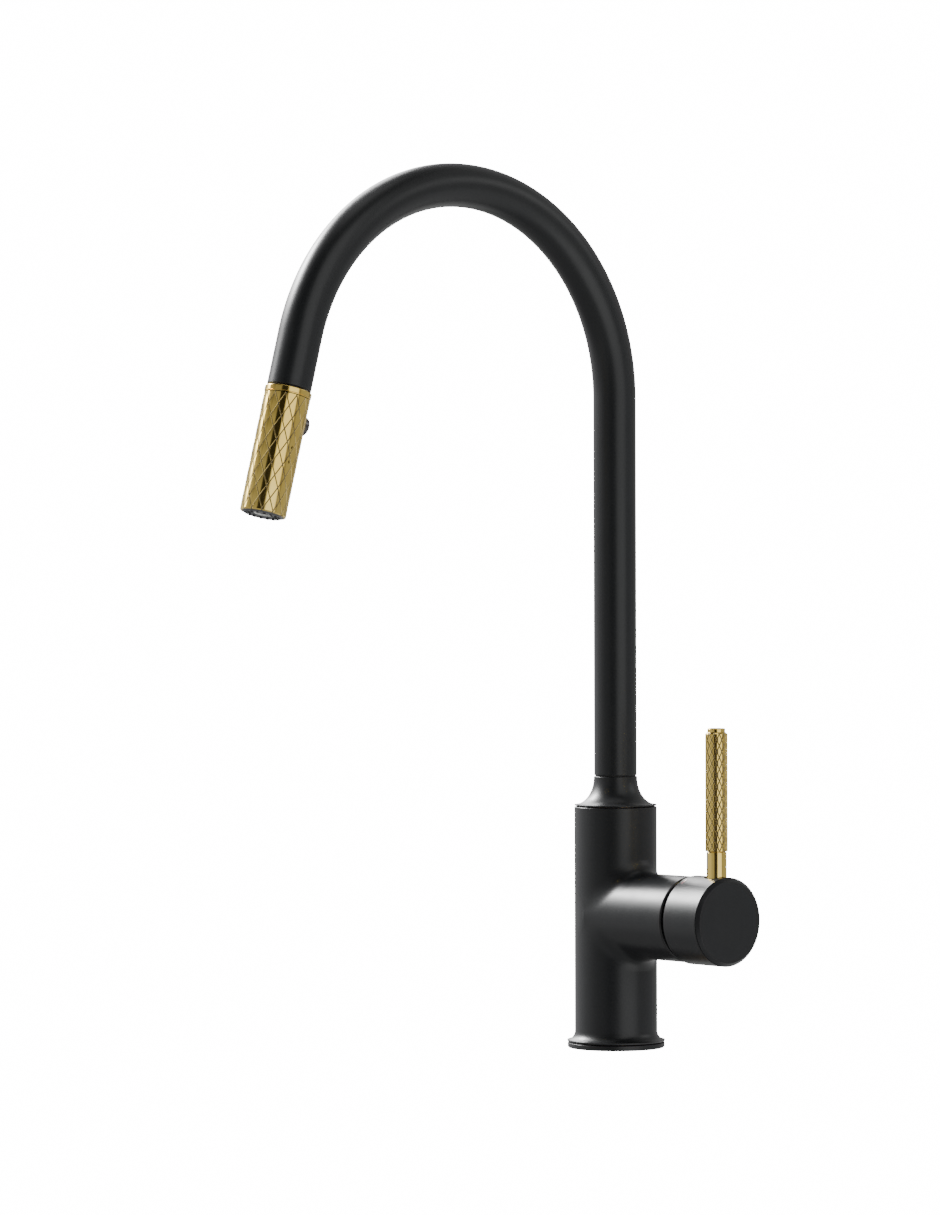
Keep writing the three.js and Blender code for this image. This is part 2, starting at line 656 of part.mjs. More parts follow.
function addHeadShell() {
  const edge = 0.5;
  const topRing = turned([
    [9.2, -HEAD_SEAM - TOP_RING_HEIGHT],
    [HEAD_RADIUS, -HEAD_SEAM - TOP_RING_HEIGHT],
    [HEAD_RADIUS, -HEAD_SEAM - edge],
    [HEAD_RADIUS - edge, -HEAD_SEAM],
    [9.2, -HEAD_SEAM],
  ]);
  addGold('head_top_ring', topRing, spoutEnd);
  addSteel('dock_armature', ring(NECK_RADIUS + GAP, 8.9, -3.9, -1, SMALL_ROUND), spoutEnd);
  const sleeve = ring(HEAD_BORE, HEAD_RADIUS, -HEAD_LENGTH, -HEAD_SEAM - TOP_RING_HEIGHT - GAP);
  const buttonHole = alongY(disc(BUTTON_RADIUS + GAP, 6, 20, SMALL_ROUND), 0, -BUTTON_DROP);
  addGold('head_sleeve', sleeve.subtract(buttonHole), spoutEnd);
}

function addHeadCore() {
  const washerFoot = NUT_FOOT - 2.2;
  const blank = turned([
    [6.5, 6],
    [7, 6],
    [NECK_RADIUS, 4.5],
    [NECK_RADIUS, -4.3],
    [CORE_RADIUS, -4.3],
    [CORE_RADIUS, CORE_END],
    [CORE_BORE, CORE_END],
    [CORE_BORE, washerFoot - GAP],
    [6.5, washerFoot - GAP],
  ]);
  const pocket = alongY(disc(BUTTON_RADIUS + GAP, 4.6, 20, SMALL_ROUND), 0, -BUTTON_DROP);
  const plungerHole = alongY(disc(2.3, -9, 6, 12), 0, -BUTTON_DROP);
  addPlastic('head_core', blank.subtract(pocket).subtract(plungerHole), PLASTIC_GREY, spoutEnd);
  addRubber('hose_washer', ring(3.2, 6, washerFoot, NUT_FOOT - GAP, SMALL_ROUND), spoutEnd);
  addPlastic('check_valve', ring(1.8, CORE_BORE - 0.4, -40, -32, SMALL_ROUND), PLASTIC_WHITE, spoutEnd);
}

function addSprayFace() {
  const face = turned([
    [CORE_BORE, FACE_TOP],
    [CORE_BORE, -HEAD_LENGTH - 0.2],
    [CORE_RADIUS - 0.8, -HEAD_LENGTH - 0.7],
    [CORE_RADIUS, -HEAD_LENGTH],
    [CORE_RADIUS, FACE_TOP],
  ]);
  addPlastic('spray_face', face, PLASTIC_GREY, spoutEnd);
  addRubber('nozzle_mat', ring(CORE_BORE, CORE_RADIUS, FACE_TOP + GAP, CORE_END - GAP), spoutEnd);
  const aerator = ring(2, CORE_BORE - 0.4, -HEAD_LENGTH, -48, SMALL_ROUND);
  addPlastic('aerator_insert', aerator, PLASTIC_WHITE, spoutEnd);
}

// A coil around the plunger, at the length it has when the button is pressed.
class SpringPath extends THREE.Curve {
  getPoint(t, target = new THREE.Vector3()) {
    const radius = 3.3;
    const turns = 2;
    const angle = 2 * Math.PI * turns * t;
    return target.set(radius * Math.cos(angle), 5.1 + 1.3 * t, radius * Math.sin(angle) - BUTTON_DROP);
  }
}

function addButton() {
  const edge = 0.8;
  const button = turned([
    [0, 9.2],
    [BUTTON_RADIUS, 9.2],
    [BUTTON_RADIUS, BUTTON_REACH - edge],
    [BUTTON_RADIUS - edge, BUTTON_REACH],
    [0, BUTTON_REACH],
  ], SMALL_ROUND);
  addBlack('spray_button', alongY(button, 0, -BUTTON_DROP), spoutEnd);
  addPlastic('diverter_plunger', alongY(disc(2, -1.5, 8.9, 12), 0, -BUTTON_DROP), PLASTIC_WHITE, spoutEnd);
  addSteel('button_spring', sweep(new SpringPath(), 0.3, 0, 5, 24), spoutEnd);
}

addBase();
addShank();
addDeckFastening();
addValveBody();
addWaterwayBlock();
addPipes();
addCartridge();
addBonnetRing();
addMixCarrier();
addMovingDisc();
addSpindle();
addHandleCap();
addHandleTrim();
addLever();
addSwivel();
addSpigot();
addCollar();
addSpoutTube();
addHose();
addDock();
addHoseEnd();
addHeadShell();
addHeadCore();
addSprayFace();
addButton();
faucet.add(spoutEnd);

export default faucet;
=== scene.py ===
# %% [markdown]
# # A pull-down kitchen faucet
# The faucet has a satin black body, a gooseneck spout, and a spray head and lever in polished
# gold-coloured metal. The engineering model gives every place, size and joint. This lesson makes the
# fine surfaces around it: round bars turned at full resolution, a cast tee with a real fillet, and a
# diamond pattern cut into metal.

# %% Load the fixed frame
import json
import math

import bmesh
import bpy
import numpy as np
from mathutils import Matrix, Vector


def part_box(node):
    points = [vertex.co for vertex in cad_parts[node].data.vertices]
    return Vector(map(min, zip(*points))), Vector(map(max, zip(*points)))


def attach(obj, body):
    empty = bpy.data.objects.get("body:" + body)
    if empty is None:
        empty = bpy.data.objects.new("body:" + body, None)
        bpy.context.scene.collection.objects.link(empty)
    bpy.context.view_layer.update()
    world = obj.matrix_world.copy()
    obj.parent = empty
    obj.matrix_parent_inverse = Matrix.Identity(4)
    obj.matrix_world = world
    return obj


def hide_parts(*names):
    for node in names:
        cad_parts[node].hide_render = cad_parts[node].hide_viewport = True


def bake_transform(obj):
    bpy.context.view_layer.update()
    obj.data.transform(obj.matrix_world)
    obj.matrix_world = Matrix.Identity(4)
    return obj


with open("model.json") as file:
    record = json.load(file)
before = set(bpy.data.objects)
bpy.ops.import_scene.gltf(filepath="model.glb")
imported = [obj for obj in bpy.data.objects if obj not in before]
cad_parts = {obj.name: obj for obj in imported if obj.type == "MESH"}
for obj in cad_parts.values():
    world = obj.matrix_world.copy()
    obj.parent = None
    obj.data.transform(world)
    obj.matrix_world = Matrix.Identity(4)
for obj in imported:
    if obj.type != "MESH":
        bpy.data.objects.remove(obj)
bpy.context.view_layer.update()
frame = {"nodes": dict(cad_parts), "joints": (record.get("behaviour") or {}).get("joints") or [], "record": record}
MM = 0.001
JOINTS = {joint["name"]: joint for joint in frame["joints"]}
NODE_BODY = {node: body for body, nodes in frame["record"]["behaviour"]["bodies"].items() for node in nodes}
NODE_SLOT = {part["node"]: part["material_slot"] for part in frame["record"]["subparts"]}

# %% [markdown]
# ## Where things are
# Nearly every piece of a faucet is turned on a lathe, so it is round about one of four axes: the
# upright column, the handle barrel, the lever and the spray head. Each axis becomes a small matrix
# whose own Z runs along it. A piece is drawn in millimetres about that Z and then put in place.

# %% The four axes
def span(node, axis):
    """Lowest and highest value of a node along one axis, in millimetres."""
    low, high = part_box(node)
    return low[axis] / MM, high[axis] / MM


def radius_of(node, axis=0):
    """Half of a node's size along one axis, in millimetres."""
    low, high = span(node, axis)
    return (high - low) / 2


X, Y, Z = 0, 1, 2
BARREL_Z = JOINTS["handle_temperature"]["pos_m"][2] / MM
PIVOT_X = JOINTS["handle_temperature"]["pos_m"][0] / MM
LEVER_X = sum(span("lever_grip", X)) / 2
SPOUT_END = Vector(JOINTS["head_turn"]["pos_m"]) / MM
HEAD_AXIS = Vector(JOINTS["head_turn"]["axis"]).normalized()

COLUMN = Matrix.Identity(4)
BARREL = Matrix.Translation((0, 0, BARREL_Z)) @ Matrix.Rotation(math.pi / 2, 4, "Y")
LEVER = Matrix.Translation((LEVER_X, 0, BARREL_Z))
HEAD_TILT = math.atan2(-HEAD_AXIS.y, -HEAD_AXIS.z)
HEAD = Matrix.Translation(SPOUT_END) @ Matrix.Rotation(-HEAD_TILT, 4, "X")
print("barrel axis at", round(BARREL_Z, 1), "mm, spout end at", [round(v, 1) for v in SPOUT_END])

# %% [markdown]
# ## Shared surface effects
# A real finish is never one flat number. Powder coat has a fine orange-peel grain, handled metal has
# faint smudges, turned metal keeps the lathe's lines, and corners are rubbed brighter. Each effect is
# one shader node group with its own inputs, built once and placed in each material that needs it.

# %% A helper that starts a node group
def new_group(name, inputs, outputs):
    """A shader node group. inputs are (name, socket type, default), outputs (name, socket type)."""
    group = bpy.data.node_groups.new(name, "ShaderNodeTree")
    for label, kind, default in inputs:
        socket = group.interface.new_socket(name=label, in_out="INPUT", socket_type=kind)
        socket.default_value = default
    for label, kind in outputs:
        group.interface.new_socket(name=label, in_out="OUTPUT", socket_type=kind)
    entry = group.nodes.new("NodeGroupInput")
    leave = group.nodes.new("NodeGroupOutput")
    return group, entry, leave


def add_node(tree, kind, settings=None, inputs=None):
    """A node with some settings, and inputs that are either values or sockets to link from."""
    node = tree.nodes.new(kind)
    for key, value in (settings or {}).items():
        setattr(node, key, value)
    for key, value in (inputs or {}).items():
        if isinstance(value, bpy.types.NodeSocket):
            tree.links.new(value, node.inputs[key])
        else:
            node.inputs[key].default_value = value
    return node


def math_node(tree, operation, first, second=0.0):
    """The result of one Math node on two numbers or sockets."""
    return add_node(tree, "ShaderNodeMath", {"operation": operation}, {0: first, 1: second}).outputs[0]


def ramp(tree, factor, low, high, to_low=0.0, to_high=1.0):
    """A smooth step of factor from low..high to to_low..to_high."""
    inputs = {"Value": factor, "From Min": low, "From Max": high, "To Min": to_low, "To Max": to_high}
    node = add_node(tree, "ShaderNodeMapRange", {"interpolation_type": "SMOOTHSTEP"}, inputs)
    return node.outputs["Result"]


def noise(tree, scale, detail=3.0, roughness=0.5, vector=None):
    """Soft noise from 0 to 1, with scale in lumps per metre unless a vector is given."""
    place = vector or add_node(tree, "ShaderNodeTexCoord").outputs["Object"]
    inputs = {"Vector": place, "Scale": scale, "Detail": detail, "Roughness": roughness}
    return add_node(tree, "ShaderNodeTexNoise", None, inputs).outputs["Fac"]


# %% Grain: the fine bumps of powder coat, moulded plastic and rubber
def make_grain_group():
    group, entry, leave = new_group(
        "fine_grain",
        [("Size per metre", "NodeSocketFloat", 1800.0), ("Softness", "NodeSocketFloat", 0.5)],
        [("Height", "NodeSocketFloat"), ("Mottle", "NodeSocketFloat")],
    )
    fine = noise(group, entry.outputs["Size per metre"], 2.0, entry.outputs["Softness"])
    wide = noise(group, math_node(group, "MULTIPLY", entry.outputs["Size per metre"], 0.08), 3.0)
    group.links.new(fine, leave.inputs["Height"])
    group.links.new(wide, leave.inputs["Mottle"])
    return group


# %% Smudges: where hands and water have dulled or cleaned the surface
def make_smudge_group():
    group, entry, leave = new_group(
        "handling_smudges",
        [("Base roughness", "NodeSocketFloat", 0.3), ("Amount", "NodeSocketFloat", 0.05)],
        [("Roughness", "NodeSocketFloat"), ("Mask", "NodeSocketFloat")],
    )
    broad = noise(group, 28.0, 4.0, 0.6)
    streaks = add_node(group, "ShaderNodeMapping", None, {"Scale": (220.0, 220.0, 24.0)})
    group.links.new(add_node(group, "ShaderNodeTexCoord").outputs["Object"], streaks.inputs["Vector"])
    drips = noise(group, 1.0, 2.0, 0.5, streaks.outputs["Vector"])
    both = math_node(group, "MULTIPLY", broad, math_node(group, "ADD", drips, 0.5))
    mask = ramp(group, both, 0.32, 0.72)
    centred = math_node(group, "SUBTRACT", mask, 0.4)
    offset = math_node(group, "MULTIPLY", centred, entry.outputs["Amount"])
    rough = math_node(group, "ADD", entry.outputs["Base roughness"], offset)
    group.links.new(rough, leave.inputs["Roughness"])
    group.links.new(mask, leave.inputs["Mask"])
    return group


# %% Edge wear: a mask along raised corners, broken up by noise
def make_edge_group():
    group, entry, leave = new_group(
        "edge_wear",
        [("Start", "NodeSocketFloat", 0.53), ("Breakup", "NodeSocketFloat", 0.5)],
        [("Mask", "NodeSocketFloat")],
    )
    corner = add_node(group, "ShaderNodeNewGeometry").outputs["Pointiness"]
    end = math_node(group, "ADD", entry.outputs["Start"], 0.06)
    sharp = ramp(group, corner, entry.outputs["Start"], end)
    patches = ramp(group, noise(group, 420.0, 4.0, 0.65), 0.42, 0.62)
    kept = math_node(group, "SUBTRACT", 1.0, entry.outputs["Breakup"])
    broken = math_node(group, "MAXIMUM", patches, kept)
    group.links.new(math_node(group, "MULTIPLY", sharp, broken), leave.inputs["Mask"])
    return group


# %% Turning lines: the fine rings that a lathe leaves across the axis
def make_turning_group():
    group, entry, leave = new_group(
        "turning_lines",
        [("Axis", "NodeSocketVector", (0.0, 0.0, 1.0)), ("Lines per metre", "NodeSocketFloat", 5200.0)],
        [("Height", "NodeSocketFloat"), ("Shade", "NodeSocketFloat")],
    )
    place = add_node(group, "ShaderNodeTexCoord").outputs["Object"]
    along = add_node(group, "ShaderNodeVectorMath", {"operation": "DOT_PRODUCT"},
                     {0: place, 1: entry.outputs["Axis"]}).outputs["Value"]
    scaled = math_node(group, "MULTIPLY", along, entry.outputs["Lines per metre"])
    rings = add_node(group, "ShaderNodeCombineXYZ", None, {"X": scaled}).outputs[0]
    lines = noise(group, 1.0, 1.0, 0.5, rings)
    wide = add_node(group, "ShaderNodeVectorMath", {"operation": "SCALE"}, {0: rings, "Scale": 0.11})
    group.links.new(lines, leave.inputs["Height"])
    group.links.new(noise(group, 1.0, 1.0, 0.5, wide.outputs[0]), leave.inputs["Shade"])
    return group


GRAIN = make_grain_group()
SMUDGE = make_smudge_group()
EDGE = make_edge_group()
TURNING = make_turning_group()
print("effects:", [group.name for group in (GRAIN, SMUDGE, EDGE, TURNING)])

# %% [markdown]
# ## Finishes
# The Principled BSDF stays in each material, and the groups only feed its colour, roughness and
# normal. The black is a satin powder coat: a dielectric with a wide soft gloss. The gold is plated
# brass: fully metallic, with a low roughness so that it mirrors the room.

# %% Material helpers
def start_material(name, color, roughness, metallic=0.0, **sockets):
    """A material with its Principled BSDF set. A socket's name has _ for each space."""
    material = bpy.data.materials.new(name)
    material.use_nodes = True
    tree = material.node_tree
    shader = tree.nodes["Principled BSDF"]
    shader.inputs["Base Color"].default_value = (*color, 1.0)
    shader.inputs["Roughness"].default_value = roughness
    shader.inputs["Metallic"].default_value = metallic
    for key, value in sockets.items():
        shader.inputs[key.replace("_", " ")].default_value = value
    return material, tree, shader


def use(tree, group, **values):
    """One copy of a shared effect, with this material's own values."""
    node = tree.nodes.new("ShaderNodeGroup")
    node.node_tree = group
    for key, value in values.items():
        node.inputs[key.replace("_", " ")].default_value = value
    return node


def bump(tree, shader, height, strength, depth):
    """Tilts the shader's normal with a height from 0 to 1 that stands for depth in metres."""
    inputs = {"Strength": strength, "Distance": depth, "Height": height}
    node = add_node(tree, "ShaderNodeBump", None, inputs)
    tree.links.new(node.outputs["Normal"], shader.inputs["Normal"])


def blend_color(tree, factor, first, second):
    """Mixes two colours by factor. The first may be a socket that already carries a colour."""
    inputs = {0: factor}
    inputs[6] = first if isinstance(first, bpy.types.NodeSocket) else (*first, 1.0)
    inputs[7] = (*second, 1.0)
    return add_node(tree, "ShaderNodeMix", {"data_type": "RGBA"}, inputs).outputs[2]


def coloured(tree, shader, factor, first, second):
    """Gives the shader a base colour between two tones."""
    tree.links.new(blend_color(tree, factor, first, second), shader.inputs["Base Color"])


# %% Satin black powder coat
BLACK_TONES = ((0.011, 0.0115, 0.0125), (0.019, 0.0196, 0.0212))
BLACK_ROUGHNESS = 0.34


def make_satin_black():
    material, tree, shader = start_material("satin_black", BLACK_TONES[0], BLACK_ROUGHNESS,
                                            Specular_IOR_Level=0.30)
    grain = use(tree, GRAIN, Size_per_metre=2600.0, Softness=0.55)
    smudge = use(tree, SMUDGE, Base_roughness=BLACK_ROUGHNESS, Amount=0.04)
    worn = use(tree, EDGE, Start=0.56, Breakup=0.8)
    tree.links.new(smudge.outputs["Roughness"], shader.inputs["Roughness"])
    shade = math_node(tree, "ADD", math_node(tree, "MULTIPLY", grain.outputs["Mottle"], 0.35),
                      math_node(tree, "MULTIPLY", worn.outputs["Mask"], 0.6))
    coloured(tree, shader, shade, *BLACK_TONES)
    bump(tree, shader, grain.outputs["Height"], 0.08, 0.00004)
    return material


# %% Polished gold plating, with painted shade down in the cut grooves
GOLD_TONES = ((0.79, 0.56, 0.13), (0.93, 0.78, 0.30))
GOLD_GROOVE_SHADE = (0.17, 0.155, 0.12)
GOLD_ROUGHNESS = 0.13


def make_polished_gold():
    material, tree, shader = start_material("polished_gold", GOLD_TONES[0], GOLD_ROUGHNESS, 1.0)
    smudge = use(tree, SMUDGE, Base_roughness=GOLD_ROUGHNESS, Amount=0.06)
    lines = use(tree, TURNING, Lines_per_metre=6400.0)
    worn = use(tree, EDGE, Start=0.55, Breakup=0.35)
    tint = math_node(tree, "ADD", math_node(tree, "MULTIPLY", smudge.outputs["Mask"], 0.25),
                     math_node(tree, "MULTIPLY", worn.outputs["Mask"], 0.5))
    plating = blend_color(tree, tint, *GOLD_TONES)
    # The cut grooves take a dark grey tone. It is painted shade in the recesses, broken up a little by noise, and
    # the grooves are rougher too.
    cut = add_node(tree, "ShaderNodeAttribute", {"attribute_name": "cut"}).outputs["Fac"]
    shade_breakup = noise(tree, 900.0, 3.0)
    groove_mask = ramp(tree, cut, 0.0, 0.5)
    groove_shade = math_node(tree, "MULTIPLY", groove_mask, ramp(tree, shade_breakup, 0.3, 0.7, 0.85, 1.0))
    coloured(tree, shader, groove_shade, plating, GOLD_GROOVE_SHADE)
    dull = math_node(tree, "MULTIPLY", groove_shade, 0.5)
    tree.links.new(math_node(tree, "ADD", smudge.outputs["Roughness"], dull), shader.inputs["Roughness"])
    bump(tree, shader, lines.outputs["Height"], 0.05, 0.00003)
    return material


# %% Bare metals inside and below: turned brass and bright steel
def make_turned_metal(name, dark, light, roughness, lines_per_metre, axis=(0.0, 0.0, 1.0)):
    material, tree, shader = start_material(name, light, roughness, 1.0)
    lines = use(tree, TURNING, Lines_per_metre=lines_per_metre)
    lines.inputs["Axis"].default_value = axis
    smudge = use(tree, SMUDGE, Base_roughness=roughness, Amount=0.12)
    tree.links.new(smudge.outputs["Roughness"], shader.inputs["Roughness"])
    both = math_node(tree, "ADD", lines.outputs["Shade"], smudge.outputs["Mask"])
    coloured(tree, shader, math_node(tree, "MULTIPLY", both, 0.5), dark, light)
    bump(tree, shader, lines.outputs["Height"], 0.25, 0.00005)
    return material


# %% Moulded plastics, rubber, enamel and ceramic
def make_moulded(name, dark, light, roughness, grain_size, grain_depth, **sockets):
    material, tree, shader = start_material(name, dark, roughness, 0.0, **sockets)
    grain = use(tree, GRAIN, Size_per_metre=grain_size)
    smudge = use(tree, SMUDGE, Base_roughness=roughness, Amount=0.1)
    tree.links.new(smudge.outputs["Roughness"], shader.inputs["Roughness"])
    coloured(tree, shader, grain.outputs["Mottle"], dark, light)
    bump(tree, shader, grain.outputs["Height"], 0.3, grain_depth)
    return material


# %% Braided nylon over the pull-out hose
BRAID_TONES = ((0.010, 0.010, 0.011), (0.055, 0.055, 0.058))


def make_braid():
    material, tree, shader = start_material("hose_braid", BRAID_TONES[0], 0.55, Sheen_Weight=0.3)
    uv = add_node(tree, "ShaderNodeUVMap").outputs["UV"]
    split = add_node(tree, "ShaderNodeSeparateXYZ", None, {0: uv})
    right = math_node(tree, "SINE", math_node(tree, "ADD", split.outputs["X"], split.outputs["Y"]))
    left = math_node(tree, "SINE", math_node(tree, "SUBTRACT", split.outputs["X"], split.outputs["Y"]))
    weave = math_node(tree, "MAXIMUM", right, left)
    coloured(tree, shader, ramp(tree, weave, 0.0, 1.0), *BRAID_TONES)
    bump(tree, shader, weave, 0.6, 0.0003)
    return material


# %% One finish for each material slot of the record
BRASS = ((0.42, 0.27, 0.10), (0.70, 0.50, 0.24), 0.28, 4200.0)
STEEL = ((0.34, 0.35, 0.36), (0.66, 0.67, 0.68), 0.24, 5000.0)
ALONG_BARREL = (1.0, 0.0, 0.0)
MOULDED = {
    # slot: dark tone, light tone, roughness, grains per metre, grain depth in metres
    "button_black": ((0.012, 0.010, 0.009), (0.022, 0.019, 0.017), 0.12, 900.0, 0.00002),
    "ceramic": ((0.70, 0.68, 0.63), (0.84, 0.83, 0.79), 0.14, 1200.0, 0.00002),
    "white_plastic": ((0.62, 0.62, 0.59), (0.74, 0.74, 0.71), 0.42, 1500.0, 0.00006),
    "grey_plastic": ((0.045, 0.047, 0.050), (0.085, 0.088, 0.092), 0.40, 2200.0, 0.00008),
    "black_plastic": ((0.010, 0.010, 0.011), (0.022, 0.022, 0.023), 0.45, 2200.0, 0.00008),
    "black_rubber": ((0.012, 0.012, 0.012), (0.030, 0.030, 0.029), 0.72, 1400.0, 0.00012),
    "hot_enamel": ((0.16, 0.018, 0.024), (0.24, 0.03, 0.036), 0.25, 1200.0, 0.00003),
    "cold_enamel": ((0.012, 0.040, 0.14), (0.02, 0.06, 0.20), 0.25, 1200.0, 0.00003),
}
CLEAR_COATS = {
    "button_black": {"Coat_Weight": 0.6, "Coat_Roughness": 0.06},
    "ceramic": {"Coat_Weight": 0.4},
    "hot_enamel": {"Coat_Weight": 0.5},
    "cold_enamel": {"Coat_Weight": 0.5},
}
MATERIALS = {
    "painted_black": make_satin_black(),
    "polished_gold": make_polished_gold(),
    "raw_brass": make_turned_metal("turned_brass", *BRASS),
    "steel": make_turned_metal("bright_steel", *STEEL),
    "hose_nylon": make_braid(),
}
for slot, look in MOULDED.items():
    MATERIALS[slot] = make_moulded(slot, *look, **CLEAR_COATS.get(slot, {}))
BARREL_BRASS = make_turned_metal("turned_brass_barrel", *BRASS, ALONG_BARREL)
print("finishes:", [material.name for material in (*MATERIALS.values(), BARREL_BRASS)])

# %% [markdown]
# ## Drawing tools
# A turned part could be drawn with a screw modifier, but then its corners would stay knife-sharp.
# Here each outline corner carries its own small fillet, so every edge catches a real highlight. The
# other tool is a shell: rows of points joined by quads, welded where two patches meet.

# %% Outline with rounded corners
def rounded(outline, steps=5):
    """A closed outline of (r, z) or (r, z, fillet) corners, with each fillet drawn as an arc."""
    made = []
    count = len(outline)
    for index, point in enumerate(outline):
        corner = np.array(point[:2], float)
        if len(point) < 3:
            made.append(corner)
            continue
        before = np.array(outline[index - 1][:2], float) - corner
        after = np.array(outline[(index + 1) % count][:2], float) - corner
        room = 0.49 * min(np.linalg.norm(before), np.linalg.norm(after))
        before = before / np.linalg.norm(before)
        after = after / np.linalg.norm(after)
        half = math.acos(max(-1.0, min(1.0, float(before @ after)))) / 2
        reach = min(point[2] / math.tan(half), room)
        radius = reach * math.tan(half)
        middle = (before + after) / np.linalg.norm(before + after)
        centre = corner + middle * radius / math.sin(half)
        first = corner + before * reach - centre
        last = corner + after * reach - centre
        start = math.atan2(first[1], first[0])
        turn = (math.atan2(last[1], last[0]) - start + math.pi) % (2 * math.pi) - math.pi
        for step in range(steps + 1):
            angle = start + turn * step / steps
            made.append(centre + radius * np.array((math.cos(angle), math.sin(angle))))
    return made


# %% Arc of an ellipse, for round-overs and for the flares of the foot and the collar
def ellipse_arc(centre, a, b, from_degrees, to_degrees, steps):
    """Points (r, z) on an arc about centre. a is its reach along r and b along z."""
    angles = np.radians(np.linspace(from_degrees, to_degrees, steps + 1))
    return [(centre[0] + a * math.cos(t), centre[1] + b * math.sin(t)) for t in angles]


# %% Shell: a mesh made of rows of points
class Shell:
    """Rows of points in millimetres, joined by quads. Patches are welded where they touch."""

    def __init__(self):
        self.points = []
        self.faces = []
        self.uvs = {}

    def row(self, points, uvs=None):
        """Adds a row of points and returns their numbers."""
        start = len(self.points)
        self.points.extend(tuple(float(value) for value in point) for point in points)
        made = list(range(start, len(self.points)))
        if uvs is not None:
            self.uvs.update(zip(made, uvs))
        return made

    def strip(self, first, second, closed=True):
        """Joins two rows with quads."""
        count = len(first)
        for index in range(count if closed else count - 1):
            following = (index + 1) % count
            self.faces.append((first[index], first[following], second[following], second[index]))

    def rows(self, rows, closed=True, looped=False):
        """Joins each row to the next, and the last to the first when looped."""
        for first, second in zip(rows, rows[1:]):
            self.strip(first, second, closed)
        if looped:
            self.strip(rows[-1], rows[0], closed)

    def fan(self, row, point):
        """Closes a row with triangles to one point."""
        tip = self.row([point])[0]
        for index, corner in enumerate(row):
            self.faces.append((corner, row[(index + 1) % len(row)], tip))


# %% Turning a shell into an object
SHARP = math.radians(32)


def finish_mesh(name, bm, material, slot_name, body, replaced):
    """Smooth shading broken only at real corners, then the piece joins its body."""
    bmesh.ops.recalc_face_normals(bm, faces=bm.faces)
    for face in bm.faces:
        face.smooth = True
    for edge in bm.edges:
        if edge.is_manifold and edge.calc_face_angle() > SHARP:
            edge.smooth = False
    mesh = bpy.data.meshes.new(name)
    bm.to_mesh(mesh)
    bm.free()
    mesh.materials.append(material)
    piece = bpy.data.objects.new(name, mesh)
    bpy.context.scene.collection.objects.link(piece)
    weighted = piece.modifiers.new("even_shading", "WEIGHTED_NORMAL")
    weighted.keep_sharp = True
    if replaced:
        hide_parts(*replaced)
    if body:
        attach(piece, body)
    print("made", name, "with", len(mesh.polygons), "faces")
    return piece


def build(shell, name, place=COLUMN, node=None, slot_name=None, body=None, material=None, weld=0.002):
    """An object from a shell. node is the CAD node that the piece stands for."""
    slot_name = slot_name or NODE_SLOT[node]
    body = body or NODE_BODY.get(node)
    bm = bmesh.new()
    vertices = [bm.verts.new((place @ Vector(point)) * MM) for point in shell.points]
    uv_layer = bm.loops.layers.uv.new("UVMap") if shell.uvs else None
    for corners in shell.faces:
        face = bm.faces.new([vertices[corner] for corner in corners])
        if uv_layer:
            for loop, corner in zip(face.loops, corners):
                loop[uv_layer].uv = shell.uvs[corner]
    if weld:
        bmesh.ops.remove_doubles(bm, verts=bm.verts, dist=weld * MM)
    return finish_mesh(name, bm, material or MATERIALS[slot_name], slot_name, body, [node] if node else [])


# %% Turned parts
def circle(radius, height, sides):
    """Points of a level circle about the axis."""
    angles = np.arange(sides) * 2 * math.pi / sides
    return [(radius * math.cos(angle), radius * math.sin(angle), height) for angle in angles]


ON_AXIS = 1e-4


def turned_shell(outline, sides=128):
    shell = Shell()
    rows = []
    for radius, height in rounded(outline):
        rows.append(shell.row(circle(max(radius, ON_AXIS), height, sides)))
    shell.rows(rows, looped=True)
    return shell


def turn(name, outline, node, place=COLUMN, sides=128, **options):
    """A lathe-turned piece. Points on the axis collapse into one when the shell is welded."""
    return build(turned_shell(outline, sides), name, place, node, **options)


# %% A ring around the spout's line, for the tube and the hose
def ring_across(centre, side, radius, angles):
    """Points of a circle that stands across the line. side and X span its plane."""
    return [centre + radius * (math.cos(a) * side + math.sin(a) * Vector((1, 0, 0))) for a in angles]


print("drawing tools ready")

# %% [markdown]
# ## The cast body
# The body is a tee: an upright column and a barrel for the cartridge. Joining two cylinders with a
# boolean gives a hard crease, and a real casting never has one. So the surface is drawn as a web of
# lines that run along the barrel, over the joint and out onto the column, and each point is then
# moved onto a smooth blend of the two cylinders.

# %% Body dimensions
COLUMN_RADIUS = 22.25
COLUMN_BORE = 17.0
FOOT_RADIUS = radius_of("valve_body", Y) + 0.1
FOOT_FLARE = ellipse_arc((FOOT_RADIUS, 9.2), FOOT_RADIUS - COLUMN_RADIUS, 5, 180, 270, 14)
BODY_LOW, BODY_HIGH = span("valve_body", Z)
BARREL_RADIUS = 22.9
BARREL_END = span("valve_body", X)[1]
BARREL_BORE = 19.6
FILLET = 9.0
print("body from", round(BODY_LOW, 1), "to", round(BODY_HIGH, 1), "mm, barrel end", round(BARREL_END, 1))


# %% The smooth blend of the two cylinders
def tee_field(points):
    """Distance to the blended casting. The blend fades out where the two sides run parallel."""
    x, y, z = points[:, 0], points[:, 1], points[:, 2] - BARREL_Z
    column_out = np.hypot(x, y)
    taper = 2 * np.minimum(x, 0)
    barrel_out = np.sqrt(y * y + z * z + taper * taper)
    to_column = column_out - COLUMN_RADIUS
    to_barrel = barrel_out - BARREL_RADIUS
    parallel = np.clip(y * y / (column_out * barrel_out), 0, 1)
    reach = FILLET * (1 - parallel) ** 0.6 + 1e-3
    share = np.maximum(reach - np.abs(to_column - to_barrel), 0) / reach
    return np.minimum(to_column, to_barrel) - share * share * reach / 4


